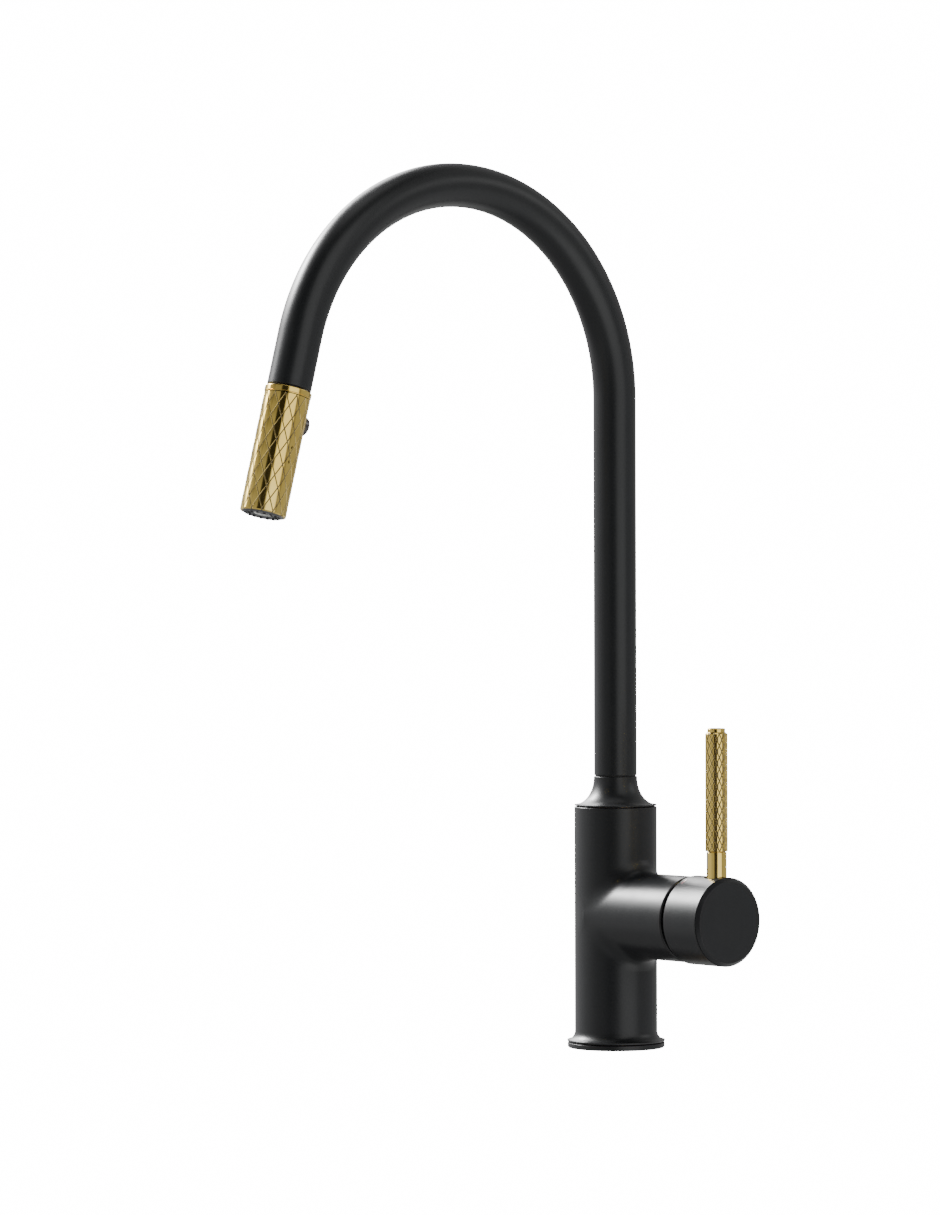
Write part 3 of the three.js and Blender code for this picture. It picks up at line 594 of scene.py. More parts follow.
def onto_tee(points):
    """Moves points onto the blended surface along its slope."""
    points = np.array(points, float)
    step = 0.01
    for _ in range(12):
        value = tee_field(points)
        slope = [(tee_field(points + step * axis) - value) / step for axis in np.eye(3)]
        slope = np.stack(slope, axis=1)
        steepness = np.maximum((slope ** 2).sum(axis=1), 0.2)
        points = points - (value / steepness)[:, None] * slope * 0.9
    return points


# %% The web of lines around the barrel
COLUMN_SIDES = 144
WINDOW_SIDES = 96
WINDOW_ROWS = np.linspace(BARREL_Z - 30, BARREL_Z + 30, 31)


def column_point(angle, height):
    """A point on the column's surface."""
    return (COLUMN_RADIUS * math.cos(angle), COLUMN_RADIUS * math.sin(angle), height)


def window_edge():
    """The border of the web on the column, as (angle, height), starting at the middle of the top."""
    half = WINDOW_SIDES // 2
    pitch = 2 * math.pi / COLUMN_SIDES
    low, high = WINDOW_ROWS[0], WINDOW_ROWS[-1]
    edge = [(k * pitch, high) for k in range(half)]
    edge += [(half * pitch, height) for height in WINDOW_ROWS[:0:-1]]
    edge += [(k * pitch, low) for k in range(half, -half, -1)]
    edge += [(-half * pitch, height) for height in WINDOW_ROWS[:-1]]
    edge += [(-k * pitch, high) for k in range(half, 0, -1)]
    return edge


def tee_web(shell):
    """Draws the web from the barrel's end to its border. Returns the turn of each of its lines."""
    edge = window_edge()
    turns = [2 * math.pi * k / len(edge) for k in range(len(edge))]
    toward_end = (np.linspace(0, 1, 26) ** 1.9)[::-1]
    toward_edge = (np.linspace(0, 1, 20) ** 1.6)[1:]
    rows = []
    for share in toward_end:
        row = []
        for turn_angle in turns:
            y, z = BARREL_RADIUS * math.sin(turn_angle), BARREL_RADIUS * math.cos(turn_angle)
            meet = math.sqrt(max(COLUMN_RADIUS ** 2 - y * y, 0))
            row.append((meet + (BARREL_END - 1 - meet) * share, y, BARREL_Z + z))
        rows.append(onto_tee(row))
    for share in toward_edge:
        row = []
        for turn_angle, (angle, height) in zip(turns, edge):
            y, z = BARREL_RADIUS * math.sin(turn_angle), BARREL_RADIUS * math.cos(turn_angle)
            y = max(-COLUMN_RADIUS, min(COLUMN_RADIUS, y))
            meet = math.atan2(y, math.sqrt(COLUMN_RADIUS ** 2 - y * y))
            here = meet + (angle - meet) * share
            row.append(column_point(here, BARREL_Z + z + (height - BARREL_Z - z) * share))
        rows.append(onto_tee(row) if share < 1 else np.array(row))
    shell.rows([shell.row(row) for row in rows])
    return turns


# %% A grid with round holes in it
def drilled_grid(shell, us, vs, surface, holes=(), steps=5):
    """Quads over surface(u, v), with rings of quads around each hole.

    A hole is a dict: the columns and rows it takes out, its centre, and its rim as a function of
    the turn around it. The result lists each hole's rim with the turns of its points.
    """
    gone = set()
    for hole in holes:
        gone |= {(i, j) for i in range(*hole["columns"]) for j in range(*hole["rows"])}
    rows = [shell.row([surface(u, v) for u in us]) for v in vs]
    for j in range(len(vs) - 1):
        for i in range(len(us) - 1):
            if (i, j) not in gone:
                shell.faces.append((rows[j][i], rows[j][i + 1], rows[j + 1][i + 1], rows[j + 1][i]))
    rims = []
    for hole in holes:
        (i0, i1), (j0, j1) = hole["columns"], hole["rows"]
        border = [(us[i], vs[j0]) for i in range(i0, i1)]
        border += [(us[i1], vs[j]) for j in range(j0, j1)]
        border += [(us[i], vs[j1]) for i in range(i1, i0, -1)]
        border += [(us[i0], vs[j]) for j in range(j1, j0, -1)]
        u0, v0 = hole["centre"]
        width = us[i1] - us[i0]
        height = vs[j1] - vs[j0]
        turns = [math.atan2((v - v0) / height, (u - u0) / width) for u, v in border]
        rim = [hole["rim"](turn_angle) for turn_angle in turns]
        loop = None
        for share in np.linspace(0, 1, steps + 1) ** 0.7:
            pairs = zip(border, rim)
            ring = [surface(u + (ru - u) * share, v + (rv - v) * share) for (u, v), (ru, rv) in pairs]
            following = shell.row(ring)
            if loop:
                shell.strip(loop, following)
            loop = following
        rims.append((loop, turns))
    return rims


# %% The barrel's open end
def draw_barrel_end(shell, turns):
    """A round-over, a small chamfer and the bore that holds the cartridge."""
    chamfer = 0.3
    profile = ellipse_arc((BARREL_RADIUS - 1, BARREL_END - 1), 1, 1, 0, 90, 6)
    profile += [(BARREL_BORE + chamfer, BARREL_END), (BARREL_BORE, BARREL_END - chamfer)]
    profile.append((BARREL_BORE, BARREL_END - 20))
    rows = []
    for radius, x in profile:
        ring = [(x, radius * math.sin(t), BARREL_Z + radius * math.cos(t)) for t in turns]
        rows.append(shell.row(ring))
    shell.rows(rows)


# %% The back of the column, and its upper part with the hole for the lock screw
LOCK_RADIUS = 2.8
LOCK_CHAMFER = 0.3
PITCH = 2 * math.pi / COLUMN_SIDES
LOCK_Z = sum(span("swivel_lock_screw", Z)) / 2


def lock_rim(turn_angle):
    """Rim of the lock screw's hole on the column, as (angle, height)."""
    reach = LOCK_RADIUS + LOCK_CHAMFER
    across = reach * math.cos(turn_angle)
    return math.pi / 2 + math.asin(across / COLUMN_RADIUS), LOCK_Z + reach * math.sin(turn_angle)


def draw_column_walls(shell):
    back = [k * PITCH for k in range(WINDOW_SIDES // 2, COLUMN_SIDES - WINDOW_SIDES // 2 + 1)]
    drilled_grid(shell, back, list(WINDOW_ROWS), column_point)
    around = [k * PITCH for k in range(COLUMN_SIDES)] + [2 * math.pi]
    upper = list(np.linspace(WINDOW_ROWS[-1], WINDOW_ROWS[-1] + 12, 7)) + [BODY_HIGH - 8, BODY_HIGH - 0.5]
    quarter = COLUMN_SIDES // 4
    hole = {
        "columns": (quarter - 5, quarter + 5),
        "rows": (1, 6),
        "centre": (math.pi / 2, LOCK_Z),
        "rim": lock_rim,
    }
    [(rim, turns)] = drilled_grid(shell, around, upper, column_point, [hole])
    wall = [rim]
    for depth in (COLUMN_RADIUS - 0.5, COLUMN_BORE):
        ring = [(-LOCK_RADIUS * math.cos(t), depth, LOCK_Z + LOCK_RADIUS * math.sin(t)) for t in turns]
        wall.append(shell.row(ring))
    shell.rows(wall)


# %% The casting
def make_valve_body():
    shell = Shell()
    draw_barrel_end(shell, tee_web(shell))
    draw_column_walls(shell)
    top = ellipse_arc((COLUMN_RADIUS - 0.5, BODY_HIGH - 0.5), 0.5, 0.5, 0, 90, 5)
    top += [(COLUMN_BORE, BODY_HIGH), (COLUMN_BORE, BODY_HIGH - 12)]
    foot = [(COLUMN_RADIUS, height) for height in (WINDOW_ROWS[0], 24, 12)] + FOOT_FLARE
    foot += [(FOOT_RADIUS - 0.1, BODY_LOW + 0.35), (FOOT_RADIUS - 0.4, BODY_LOW), (COLUMN_BORE, BODY_LOW)]
    for profile in (top, foot):
        shell.rows([shell.row(circle(radius, height, COLUMN_SIDES)) for radius, height in profile])
    return build(shell, "body_casting", COLUMN, "valve_body")


make_valve_body()

# %% [markdown]
# ## Base, collar and spout
# The base ring and the trumpet collar are turned parts with small fillets. The gooseneck is one bent
# tube, so it is swept along a straight line and a 165 degree arc, with eased rims at both ends.

# %% Base ring
RING_RADIUS = radius_of("base_ring")
RING_TOP = span("base_ring", Z)[1]
RING_BORE = 16.8
turn("base_flange", [
    (RING_BORE, 0), (RING_RADIUS - 0.6, 0, 0.2), (RING_RADIUS, 0.6, 0.3),
    (RING_RADIUS, RING_TOP, 0.35), (RING_BORE, RING_TOP),
], "base_ring")

# %% Collar between the body and the tube
COLLAR_LOW = span("spout_collar", Z)[0]
TUBE_RADIUS = radius_of("spout_tube")
TUBE_BORE = 10.2
COLLAR_RADIUS = COLUMN_RADIUS - 0.1
COLLAR_TOP = COLLAR_LOW + 15.3
COLLAR_BORE = 14.9
SKIRT_LOW = COLLAR_LOW - 0.7
SKIRT_BORE = 20.9
trumpet = ellipse_arc((COLLAR_RADIUS, COLLAR_LOW + 14.4), 10.4, 14.5, 269, 181, 36)
turn("trumpet_collar", [
    (COLLAR_BORE, COLLAR_LOW), (SKIRT_BORE, COLLAR_LOW), (SKIRT_BORE, SKIRT_LOW),
    (COLLAR_RADIUS, SKIRT_LOW, 0.2), (COLLAR_RADIUS, COLLAR_LOW - 0.1, 0.1), *trumpet,
    (TUBE_RADIUS + 0.25, COLLAR_TOP - 0.5, 0.2), (TUBE_RADIUS - 0.5, COLLAR_TOP, 0.15),
    (TUBE_BORE, COLLAR_TOP), (TUBE_BORE, COLLAR_LOW + 3), (COLLAR_BORE, COLLAR_LOW + 3),
], "spout_collar", sides=144)

# %% Soft seal in the groove under the tube, whose black also stands in for the shade in the gap
SEAL_LOW, SEAL_TOP = COLLAR_TOP - 0.7, COLLAR_TOP + 0.9
turn("seal_and_gap_shade", [
    (9.9, SEAL_LOW), (10.95, SEAL_LOW), (10.95, SEAL_TOP, 0.2), (10.1, SEAL_TOP),
], None, slot_name="black_rubber", body="spout")

# %% The line of the spout
BEND_RADIUS = 110.0
BEND_Z = 350.0
BEND_ANGLE = math.pi - HEAD_TILT
BEND_LENGTH = BEND_RADIUS * BEND_ANGLE
BEND_CENTRE = Vector((0, -BEND_RADIUS, BEND_Z))
BEND_LAST = BEND_CENTRE + BEND_RADIUS * Vector((0, math.cos(BEND_ANGLE), math.sin(BEND_ANGLE)))
TAIL = (SPOUT_END - BEND_LAST).length


def spout_frame(distance, low):
    """Centre and side direction at a distance along the spout from its lower end."""
    past_riser = distance - (BEND_Z - low)
    angle = max(0.0, min(past_riser / BEND_RADIUS, BEND_ANGLE))
    side = Vector((0, math.cos(angle), math.sin(angle)))
    if past_riser < 0:
        return Vector((0, 0, low + distance)), side
    centre = BEND_CENTRE + BEND_RADIUS * side
    return centre + HEAD_AXIS * (past_riser - angle * BEND_RADIUS), side


# %% The gooseneck tube
TUBE_LOW = span("spout_tube", Z)[0]
TUBE_LENGTH = BEND_Z - TUBE_LOW + BEND_LENGTH + TAIL


def make_gooseneck():
    """The outside runs from rim to rim, and the bore is drawn only near the two open ends."""
    ease, chamfer, sides = 0.45, 0.2, 112
    bend_start = BEND_Z - TUBE_LOW
    bend_end = bend_start + BEND_LENGTH
    lip = ellipse_arc((ease, TUBE_RADIUS - ease), -ease, ease, 0, 90, 4)
    marks = [*np.linspace(2, bend_start, 24), *np.linspace(bend_start, bend_end, 150)[1:],
             *np.linspace(bend_end, TUBE_LENGTH - 2, 6)[1:]]
    line = [(8, TUBE_BORE), (chamfer, TUBE_BORE), (0, TUBE_BORE + chamfer), *lip]
    line += [(distance, TUBE_RADIUS) for distance in marks]
    line += [(TUBE_LENGTH - distance, radius) for distance, radius in lip[::-1]]
    line += [(TUBE_LENGTH, TUBE_BORE + chamfer), (TUBE_LENGTH - chamfer, TUBE_BORE)]
    line.append((TUBE_LENGTH - 12, TUBE_BORE))
    angles = np.arange(sides) * 2 * math.pi / sides
    shell = Shell()
    shell.rows([shell.row(ring_across(*spout_frame(distance, TUBE_LOW), radius, angles))
                for distance, radius in line])
    return build(shell, "gooseneck", COLUMN, "spout_tube")


make_gooseneck()
print("gooseneck:", round(TUBE_LENGTH, 1), "mm long, bent", round(math.degrees(BEND_ANGLE)), "degrees")

# %% [markdown]
# ## Handle cap
# The cap is a cup that covers the barrel's end. The lever stands in a countersunk hole in its side,
# and a grub screw sits in a second hole underneath. Both holes are real openings in the surface.

# %% Cap shell
CAP_START, CAP_END = span("handle_cap", X)
CAP_RADIUS = 23.6
CAP_BORE = 21.6
STEM_RADIUS = radius_of("lever_stem")


def cap_point(angle, x, radius=CAP_RADIUS):
    """A point on the cap, with its angle measured from the top."""
    return (x, -radius * math.sin(angle), BARREL_Z + radius * math.cos(angle))


def hole_rim(radius, centre_x, centre_angle=0.0, cone=0.0):
    """Rim of a hole drilled towards the barrel's axis, as (angle, x). cone widens it with height."""
    def rim(turn_angle):
        reach = radius
        for _ in range(8):
            across = reach * math.cos(turn_angle)
            drop = CAP_RADIUS - math.sqrt(CAP_RADIUS ** 2 - across ** 2)
            reach = radius - cone * drop
        angle = centre_angle + math.asin(reach * math.cos(turn_angle) / CAP_RADIUS)
        return angle, centre_x + reach * math.sin(turn_angle)
    return rim


# %% The cap's side, with the countersunk hole for the stem and the hole for the grub screw
CAP_SIDES = 144
CAP_BEVEL = 2.0
CAP_RIM = 0.8
SCREW_X = sum(span("handle_grub_screw", X)) / 2


def draw_cap_side(shell, angles):
    stem_reach, screw_reach = 9, 4
    xs = {CAP_START + CAP_RIM, CAP_START + 3, CAP_START + 6, CAP_END - CAP_BEVEL}
    xs = sorted(xs.union(np.linspace(SCREW_X - screw_reach, LEVER_X + 8, 13)))

    def nearest(x):
        return xs.index(min(xs, key=lambda other: abs(other - x)))

    top = angles.index(0.0)
    bottom = top + CAP_SIDES // 2
    holes = [
        {"columns": (top - 11, top + 11), "rows": (nearest(LEVER_X - stem_reach), len(xs) - 1),
         "centre": (0.0, LEVER_X), "rim": hole_rim(7.2, LEVER_X, cone=1.1)},
        {"columns": (bottom - 5, bottom + 5),
         "rows": (nearest(SCREW_X - screw_reach), nearest(SCREW_X + screw_reach)),
         "centre": (math.pi, SCREW_X), "rim": hole_rim(2.8, SCREW_X, math.pi)},
    ]
    walls = [
        # middle of the hole, side of the axis that it is on, bore as (radius, height)
        (LEVER_X, 1, [(STEM_RADIUS + 0.35, CAP_RADIUS - 1.7), (STEM_RADIUS + 0.3, 10)]),
        (SCREW_X, -1, [(2.6, CAP_RADIUS - 0.5), (2.6, 12)]),
    ]
    rims = drilled_grid(shell, angles, xs, cap_point, holes)
    for (rim, turns), (centre_x, side, bore) in zip(rims, walls):
        wall = [rim]
        for radius, height in bore:
            z = BARREL_Z + side * height
            ring = [(centre_x + radius * math.sin(t), -side * radius * math.cos(t), z) for t in turns]
            wall.append(shell.row(ring))
        shell.rows(wall)


# %% The whole cap
def make_cap():
    pitch = 2 * math.pi / CAP_SIDES
    angles = [k * pitch for k in range(-CAP_SIDES // 4, CAP_SIDES * 3 // 4 + 1)]
    shell = Shell()
    draw_cap_side(shell, angles)
    bevel = rounded([(CAP_RADIUS, CAP_END - CAP_BEVEL, 0.3), (CAP_RADIUS - CAP_BEVEL, CAP_END, 0.3),
                     (0, CAP_END), (0, CAP_END - 5)])[:12]
    end = [(CAP_RADIUS, CAP_END - CAP_BEVEL), *bevel, (12, CAP_END), (ON_AXIS, CAP_END)]
    mouth = rounded([
        (CAP_RADIUS, CAP_START + 4), (CAP_RADIUS, CAP_START + CAP_RIM, 0.2),
        (CAP_RADIUS - CAP_RIM, CAP_START, 0.2), (CAP_BORE + 0.3, CAP_START, 0.15),
        (CAP_BORE, CAP_START + 0.5, 0.15), (CAP_BORE, CAP_END - 3.5), (ON_AXIS, CAP_END - 3.5),
    ])[1:]
    start = [(CAP_RADIUS, CAP_START + CAP_RIM), *mouth]
    for profile in (end, start):
        rows = []
        for radius, x in profile:
            rows.append(shell.row([cap_point(k * pitch, x, radius) for k in range(CAP_SIDES)]))
        shell.rows(rows)
    return build(shell, "handle_cup", COLUMN, "handle_cap")


make_cap()

# %% Bonnet dome behind the cap
DOME_RADIUS = 24.0
DOME_LOW = 59.3
DOME_OUTSIDE, DOME_OPENING = 19.3, 15.6
dome_from, dome_to = (math.degrees(math.acos(r / DOME_RADIUS)) for r in (DOME_OUTSIDE, DOME_OPENING))
dome = ellipse_arc((0, PIVOT_X), DOME_RADIUS, DOME_RADIUS, dome_from, dome_to, 12)
turn("bonnet_dome", [
    (DOME_OUTSIDE, DOME_LOW), *dome, (DOME_OPENING, DOME_LOW + 3.3), (17.8, DOME_LOW),
], "bonnet_ring", BARREL)

# %% [markdown]
# ## Hot and cold marks
# Two small dashes of enamel show which way is hot and which is cold. Flat colour on the cap would
# look printed, so each dash is a thin pillow that stands a tenth of a millimetre proud.

# %% Hot and cold marks
def squarer(value, power):
    """Pushes a sine or cosine towards 1 or -1, so that a circle turns into a rounded dash."""
    return math.copysign(abs(value) ** power, value)


def make_mark(node, name):
    """A slightly raised enamel dash that follows the cap's curve."""
    (low_x, high_x), (low_y, high_y), (_, high_z) = span(node, X), span(node, Y), span(node, Z)
    middle = math.atan2(-(low_y + high_y) / 2, high_z - BARREL_Z - 1)
    middle_x = (low_x + high_x) / 2
    half_angle = 2.3 / CAP_RADIUS
    half_length = (high_x - low_x) / 2.6
    sides = 40
    shell = Shell()
    rows = []
    for inset, lift in [(0.0, -0.3), (0.0, 0.02), (0.12, 0.09), (0.5, 0.1), (0.94, 0.1)]:
        row = []
        for k in range(sides):
            t = 2 * math.pi * k / sides
            across = half_angle * (1 - inset) * squarer(math.cos(t), 0.35)
            along = half_length * (1 - inset) * squarer(math.sin(t), 0.6)
            row.append(cap_point(middle + across, middle_x + along, CAP_RADIUS + lift))
        rows.append(shell.row(row))
    shell.rows(rows)
    shell.fan(rows[-1], cap_point(middle, middle_x, CAP_RADIUS + 0.1))
    return build(shell, name, COLUMN, node)


make_mark("hot_mark", "hot_dash")
make_mark("cold_mark", "cold_dash")

# %% [markdown]
# ## Diamond cut metal
# The grip and the spray head are cut with two families of spiral V grooves, one to the left and one
# to the right. The quads follow those spirals, so each groove is a clean line of the mesh and not a
# jagged one. Between the grooves each lozenge is a slightly swollen pillow.

# %% Diamond cutting
def diamond_mesh(radius, low, high, around, length, groove, pillow, share):
    """An open cylinder cut with spiral grooves, between two heights. Returns its bmesh.

    There are around lozenges in a ring, each of the given length. A groove is groove deep, and its
    half width is share of a lozenge. pillow is how far a lozenge's edge lies below its middle.
    """
    levels = int((high - low) / length) + 3
    half = (0.0, share, 0.12 + share / 2, 0.30)
    cuts = [*half, 0.5, *(1 - part for part in half[:0:-1])]
    stops = [whole + part for whole in range(-levels, around + levels + 1) for part in cuts]
    bm = bmesh.new()
    cut = bm.verts.layers.float.new("cut")
    made = {}
    middle = (low + high) / 2

    def vertex(i, j):
        if (i, j) not in made:
            u, v = stops[i], stops[j]
            angle = (u + v) * math.pi / around
            from_u, from_v = abs(u - round(u)), abs(v - round(v))
            line = max(0.0, 1 - min(from_u, from_v) / share)
            swell = (1 - (1 - 2 * from_u) ** 2) * (1 - (1 - 2 * from_v) ** 2)
            r = radius - groove * line - pillow * (1 - swell)
            height = middle + (u - v) * length / 2
            made[i, j] = bm.verts.new((r * math.cos(angle), r * math.sin(angle), height))
            made[i, j][cut] = line
        return made[i, j]

    margin = length / 2
    for i in range(len(stops) - 1):
        for j in range(len(stops) - 1):
            u, v = stops[i], stops[j]
            height = middle + (u - v) * length / 2
            turn_share = (u + v) / 2
            if low - margin < height < high + margin and 0 <= turn_share < around:
                bm.faces.new((vertex(i, j), vertex(i + 1, j), vertex(i + 1, j + 1), vertex(i, j + 1)))
    for height, side in ((low, -1), (high, 1)):
        everything = bm.verts[:] + bm.edges[:] + bm.faces[:]
        place, outward = (0, 0, height), (0, 0, side)
        bmesh.ops.bisect_plane(bm, geom=everything, plane_co=place, plane_no=outward, clear_outer=True)
    bmesh.ops.remove_doubles(bm, verts=bm.verts, dist=0.002)
    return bm


def add_lip(bm, height, side, steps):
    """Closes a cut edge with a small chamfer and a flat lip, as (radius, height) steps."""
    border = [edge for edge in bm.edges if edge.is_boundary
              and all(abs(vertex.co.z - height) < 1e-3 for vertex in edge.verts)]
    for radius, rise in steps:
        grown = bmesh.ops.extrude_edge_only(bm, edges=border)["geom"]
        border = [item for item in grown if isinstance(item, bmesh.types.BMEdge)]
        for vertex in {v for edge in border for v in edge.verts}:
            out = math.hypot(vertex.co.x, vertex.co.y)
            vertex.co.x *= radius / out
            vertex.co.y *= radius / out
            vertex.co.z = height + side * rise


def place_mesh(bm, place):
    """Puts a piece drawn in millimetres in its place, in metres."""
    for vertex in bm.verts:
        vertex.co = (place @ vertex.co) * MM


# %% [markdown]
# ## Lever
# The lever is a round stem with a diamond cut sleeve over it and a small turned cap on top. It could
# be one turned bar, but the real one shows a fine seam at both ends of the sleeve. So the three are
# separate pieces, and each has its own small round-over.

# %% Grip on the lever
GRIP_RADIUS = radius_of("lever_grip")
GRIP_LOW, GRIP_HIGH = (value - BARREL_Z for value in span("lever_grip", Z))
GRIP_BORE = 3.6
GRIP_FOOT, GRIP_SHOULDER = 0.3, 0.9
grip = diamond_mesh(GRIP_RADIUS, GRIP_LOW + GRIP_FOOT, GRIP_HIGH - GRIP_SHOULDER, around=13, length=6.2,
                    groove=0.30, pillow=0.10, share=0.12)
add_lip(grip, GRIP_LOW + GRIP_FOOT, -1, [
    (GRIP_RADIUS - 0.5, 0.2), (GRIP_RADIUS - 0.8, GRIP_FOOT), (GRIP_BORE, GRIP_FOOT),
])
add_lip(grip, GRIP_HIGH - GRIP_SHOULDER, 1, [
    (GRIP_RADIUS - 0.45, 0.3), (GRIP_RADIUS - 0.75, 0.65), (GRIP_RADIUS - 1.2, GRIP_SHOULDER),
    (GRIP_BORE, GRIP_SHOULDER),
])
place_mesh(grip, LEVER)
finish_mesh("grip_sleeve", grip, MATERIALS["polished_gold"], "polished_gold", "handle", ["lever_grip"])

# %% Stem and tip
STEM_FOOT, STEM_TOP = (value - BARREL_Z for value in span("lever_stem", Z))
STEM_CORE = 3.2
TIP_TOP = span("lever_tip", Z)[1] - BARREL_Z
TIP_FOOT = GRIP_HIGH + 0.05
TIP_RADIUS = radius_of("lever_tip")
turn("stem_rod", [
    (0, STEM_FOOT), (STEM_RADIUS, STEM_FOOT, 0.3), (STEM_RADIUS, GRIP_LOW - 0.3, 0.35),
    (STEM_CORE, GRIP_LOW - 0.3), (STEM_CORE, STEM_TOP), (0, STEM_TOP),
], "lever_stem", LEVER, 96)
turn("tip_cap", [
    (0, TIP_FOOT), (TIP_RADIUS, TIP_FOOT), (TIP_RADIUS, TIP_TOP - 0.4, 0.25),
    (TIP_RADIUS - 0.4, TIP_TOP, 0.25), (TIP_RADIUS - 1.6, TIP_TOP, 0.1),
    (TIP_RADIUS - 1.8, TIP_TOP - 0.2, 0.1), (0, TIP_TOP - 0.2),
], "lever_tip", LEVER, 96)

# %% [markdown]
# ## Spray head
# A plated brass sleeve hides the plastic core. Its button is black and stands in a rim that follows
# the sleeve's curve. The face at the bottom has rubber nozzles around an aerator with a fine mesh.

# %% Head dimensions, measured down the head's own axis
def head_span(node):
    """Lowest and highest place of a node along the head's axis, from its vertices."""
    inverse = HEAD.inverted()
    heights = [(inverse @ (vertex.co / MM)).z for vertex in frame["nodes"][node].data.vertices]
    return min(heights), max(heights)


HEAD_RADIUS = 12.0
HEAD_CORE = 9.2
HEAD_LOW, SLEEVE_TOP = head_span("head_sleeve")
RING_LOW, RING_HIGH = head_span("head_top_ring")
BUTTON_Z = sum(head_span("spray_button")) / 2
HEAD_GOLD = make_polished_gold()
HEAD_GOLD.name = "polished_gold_head"
print("head from", round(HEAD_LOW, 1), "to", round(RING_HIGH, 1), "mm, button at", round(BUTTON_Z, 1))

# %% Sleeve with a round opening for the button
OPENING = 5.75
OPENING_MARGIN = 1.2
OPENING_DEPTH = 0.3


def button_offset(co):
    """Where a point of the sleeve lies from the button's axis, and how far."""
    across, along = co.x, co.z - BUTTON_Z
    return across, along, math.hypot(across, along)


SLEEVE_BORE = 10.8
SLEEVE_FOOT, SLEEVE_SHOULDER = 0.5, 0.2
sleeve = diamond_mesh(HEAD_RADIUS, HEAD_LOW + SLEEVE_FOOT, SLEEVE_TOP - SLEEVE_SHOULDER, around=13,
                      length=12.2, groove=0.24, pillow=0.07, share=0.055)
doomed = [face for face in sleeve.faces
          if face.calc_center_median().y > 0 and button_offset(face.calc_center_median())[2] < OPENING]
bmesh.ops.delete(sleeve, geom=doomed, context="FACES")
for edge in sleeve.edges:
    if edge.is_boundary:
        for vertex in edge.verts:
            across, along, reach = button_offset(vertex.co)
            if vertex.co.y > 0 and reach < OPENING + OPENING_MARGIN:
                vertex.co.x = across * OPENING / reach
                vertex.co.z = BUTTON_Z + along * OPENING / reach
                vertex.co.y = math.sqrt((HEAD_RADIUS - OPENING_DEPTH) ** 2 - vertex.co.x ** 2)
add_lip(sleeve, HEAD_LOW + SLEEVE_FOOT, -1, [
    (HEAD_RADIUS - 0.15, 0.1), (HEAD_RADIUS - 0.35, 0.4), (HEAD_RADIUS - 0.6, SLEEVE_FOOT),
    (SLEEVE_BORE, SLEEVE_FOOT),
])
add_lip(sleeve, SLEEVE_TOP - SLEEVE_SHOULDER, 1, [
    (HEAD_RADIUS - 0.6, SLEEVE_SHOULDER), (SLEEVE_BORE, SLEEVE_SHOULDER),
])
place_mesh(sleeve, HEAD)
finish_mesh("head_shell", sleeve, HEAD_GOLD, "polished_gold", "spray_head", ["head_sleeve"])

# %% Rim around the button
def saddle_ring(profile, sides=96):
    """A ring about the button's axis whose section sits on the head's round side."""
    shell = Shell()
    rows = []
    for reach, radius in profile:
        row = []
        for k in range(sides):
            t = 2 * math.pi * k / sides
            across = reach * math.cos(t)
            row.append((across, math.sqrt(radius ** 2 - across ** 2), BUTTON_Z + reach * math.sin(t)))
        rows.append(shell.row(row))
    shell.rows(rows)
    return shell


bezel_profile = rounded([(5.28, 9.5), (5.28, 12.25, 0.12), (6.05, 12.25, 0.18), (6.4, 11.6)])
build(saddle_ring(bezel_profile), "button_rim", HEAD, None, "polished_gold", "spray_head", HEAD_GOLD)

# %% Top ring, button and face
turn("head_crown", [
    (HEAD_CORE, RING_LOW), (HEAD_RADIUS - 0.35, RING_LOW), (HEAD_RADIUS - 0.3, RING_LOW + 0.3, 0.1),
    (HEAD_RADIUS + 0.15, RING_LOW + 0.45, 0.12), (HEAD_RADIUS + 0.15, RING_HIGH, 0.4), (HEAD_CORE, RING_HIGH),
], "head_top_ring", HEAD, 128, material=HEAD_GOLD)

BUTTON_AXIS = HEAD @ Matrix.Translation((0, 0, BUTTON_Z)) @ Matrix.Rotation(-math.pi / 2, 4, "X")
button_dome = ellipse_arc((0, 14.35), 4.2, 0.65, 12, 86, 11)
turn("push_button", [
    (0, 9.2), (5, 9.2), (5, 14.1, 0.35), (4.55, 14.4, 0.15), (4.3, 14.3, 0.12), *button_dome, (0, 15.0),
], "spray_button", BUTTON_AXIS, 96)

FACE_RADIUS = 10.5
FACE_BORE = 5.2
FACE_TOP = HEAD_LOW + 4.2
turn("nozzle_face", [
    (FACE_BORE, FACE_TOP), (FACE_BORE, HEAD_LOW - 0.15, 0.15), (6.2, HEAD_LOW - 0.2, 0.2),
    (9.7, HEAD_LOW - 0.7, 0.4), (FACE_RADIUS, HEAD_LOW - 0.1, 0.3), (FACE_RADIUS, FACE_TOP),
], "spray_face", HEAD, 128)

# %% Rubber nozzles in two circles
NOZZLE_CIRCLES = ((7.1, 12, 0.0), (8.9, 16, 0.5))  # radius, number of nozzles, shift along the circle
NOZZLE_PROFILE = [(0.62, 0.3), (0.6, -0.8), (0.5, -0.95), (0.3, -0.97), (0.22, -0.9), (0.2, -0.2)]


def make_nozzles():
    shell = Shell()
    for radius, count, shift in NOZZLE_CIRCLES:
        for index in range(count):
            around = 2 * math.pi * (index + shift) / count
            x, y = radius * math.cos(around), radius * math.sin(around)
            rows = []
            for r, rise in NOZZLE_PROFILE:
                rows.append(shell.row([(x + a, y + b, z) for a, b, z in circle(r, HEAD_LOW + rise, 16)]))
            shell.rows(rows)
    return build(shell, "nozzle_nubs", HEAD, None, "black_rubber", "spray_head")


make_nozzles()

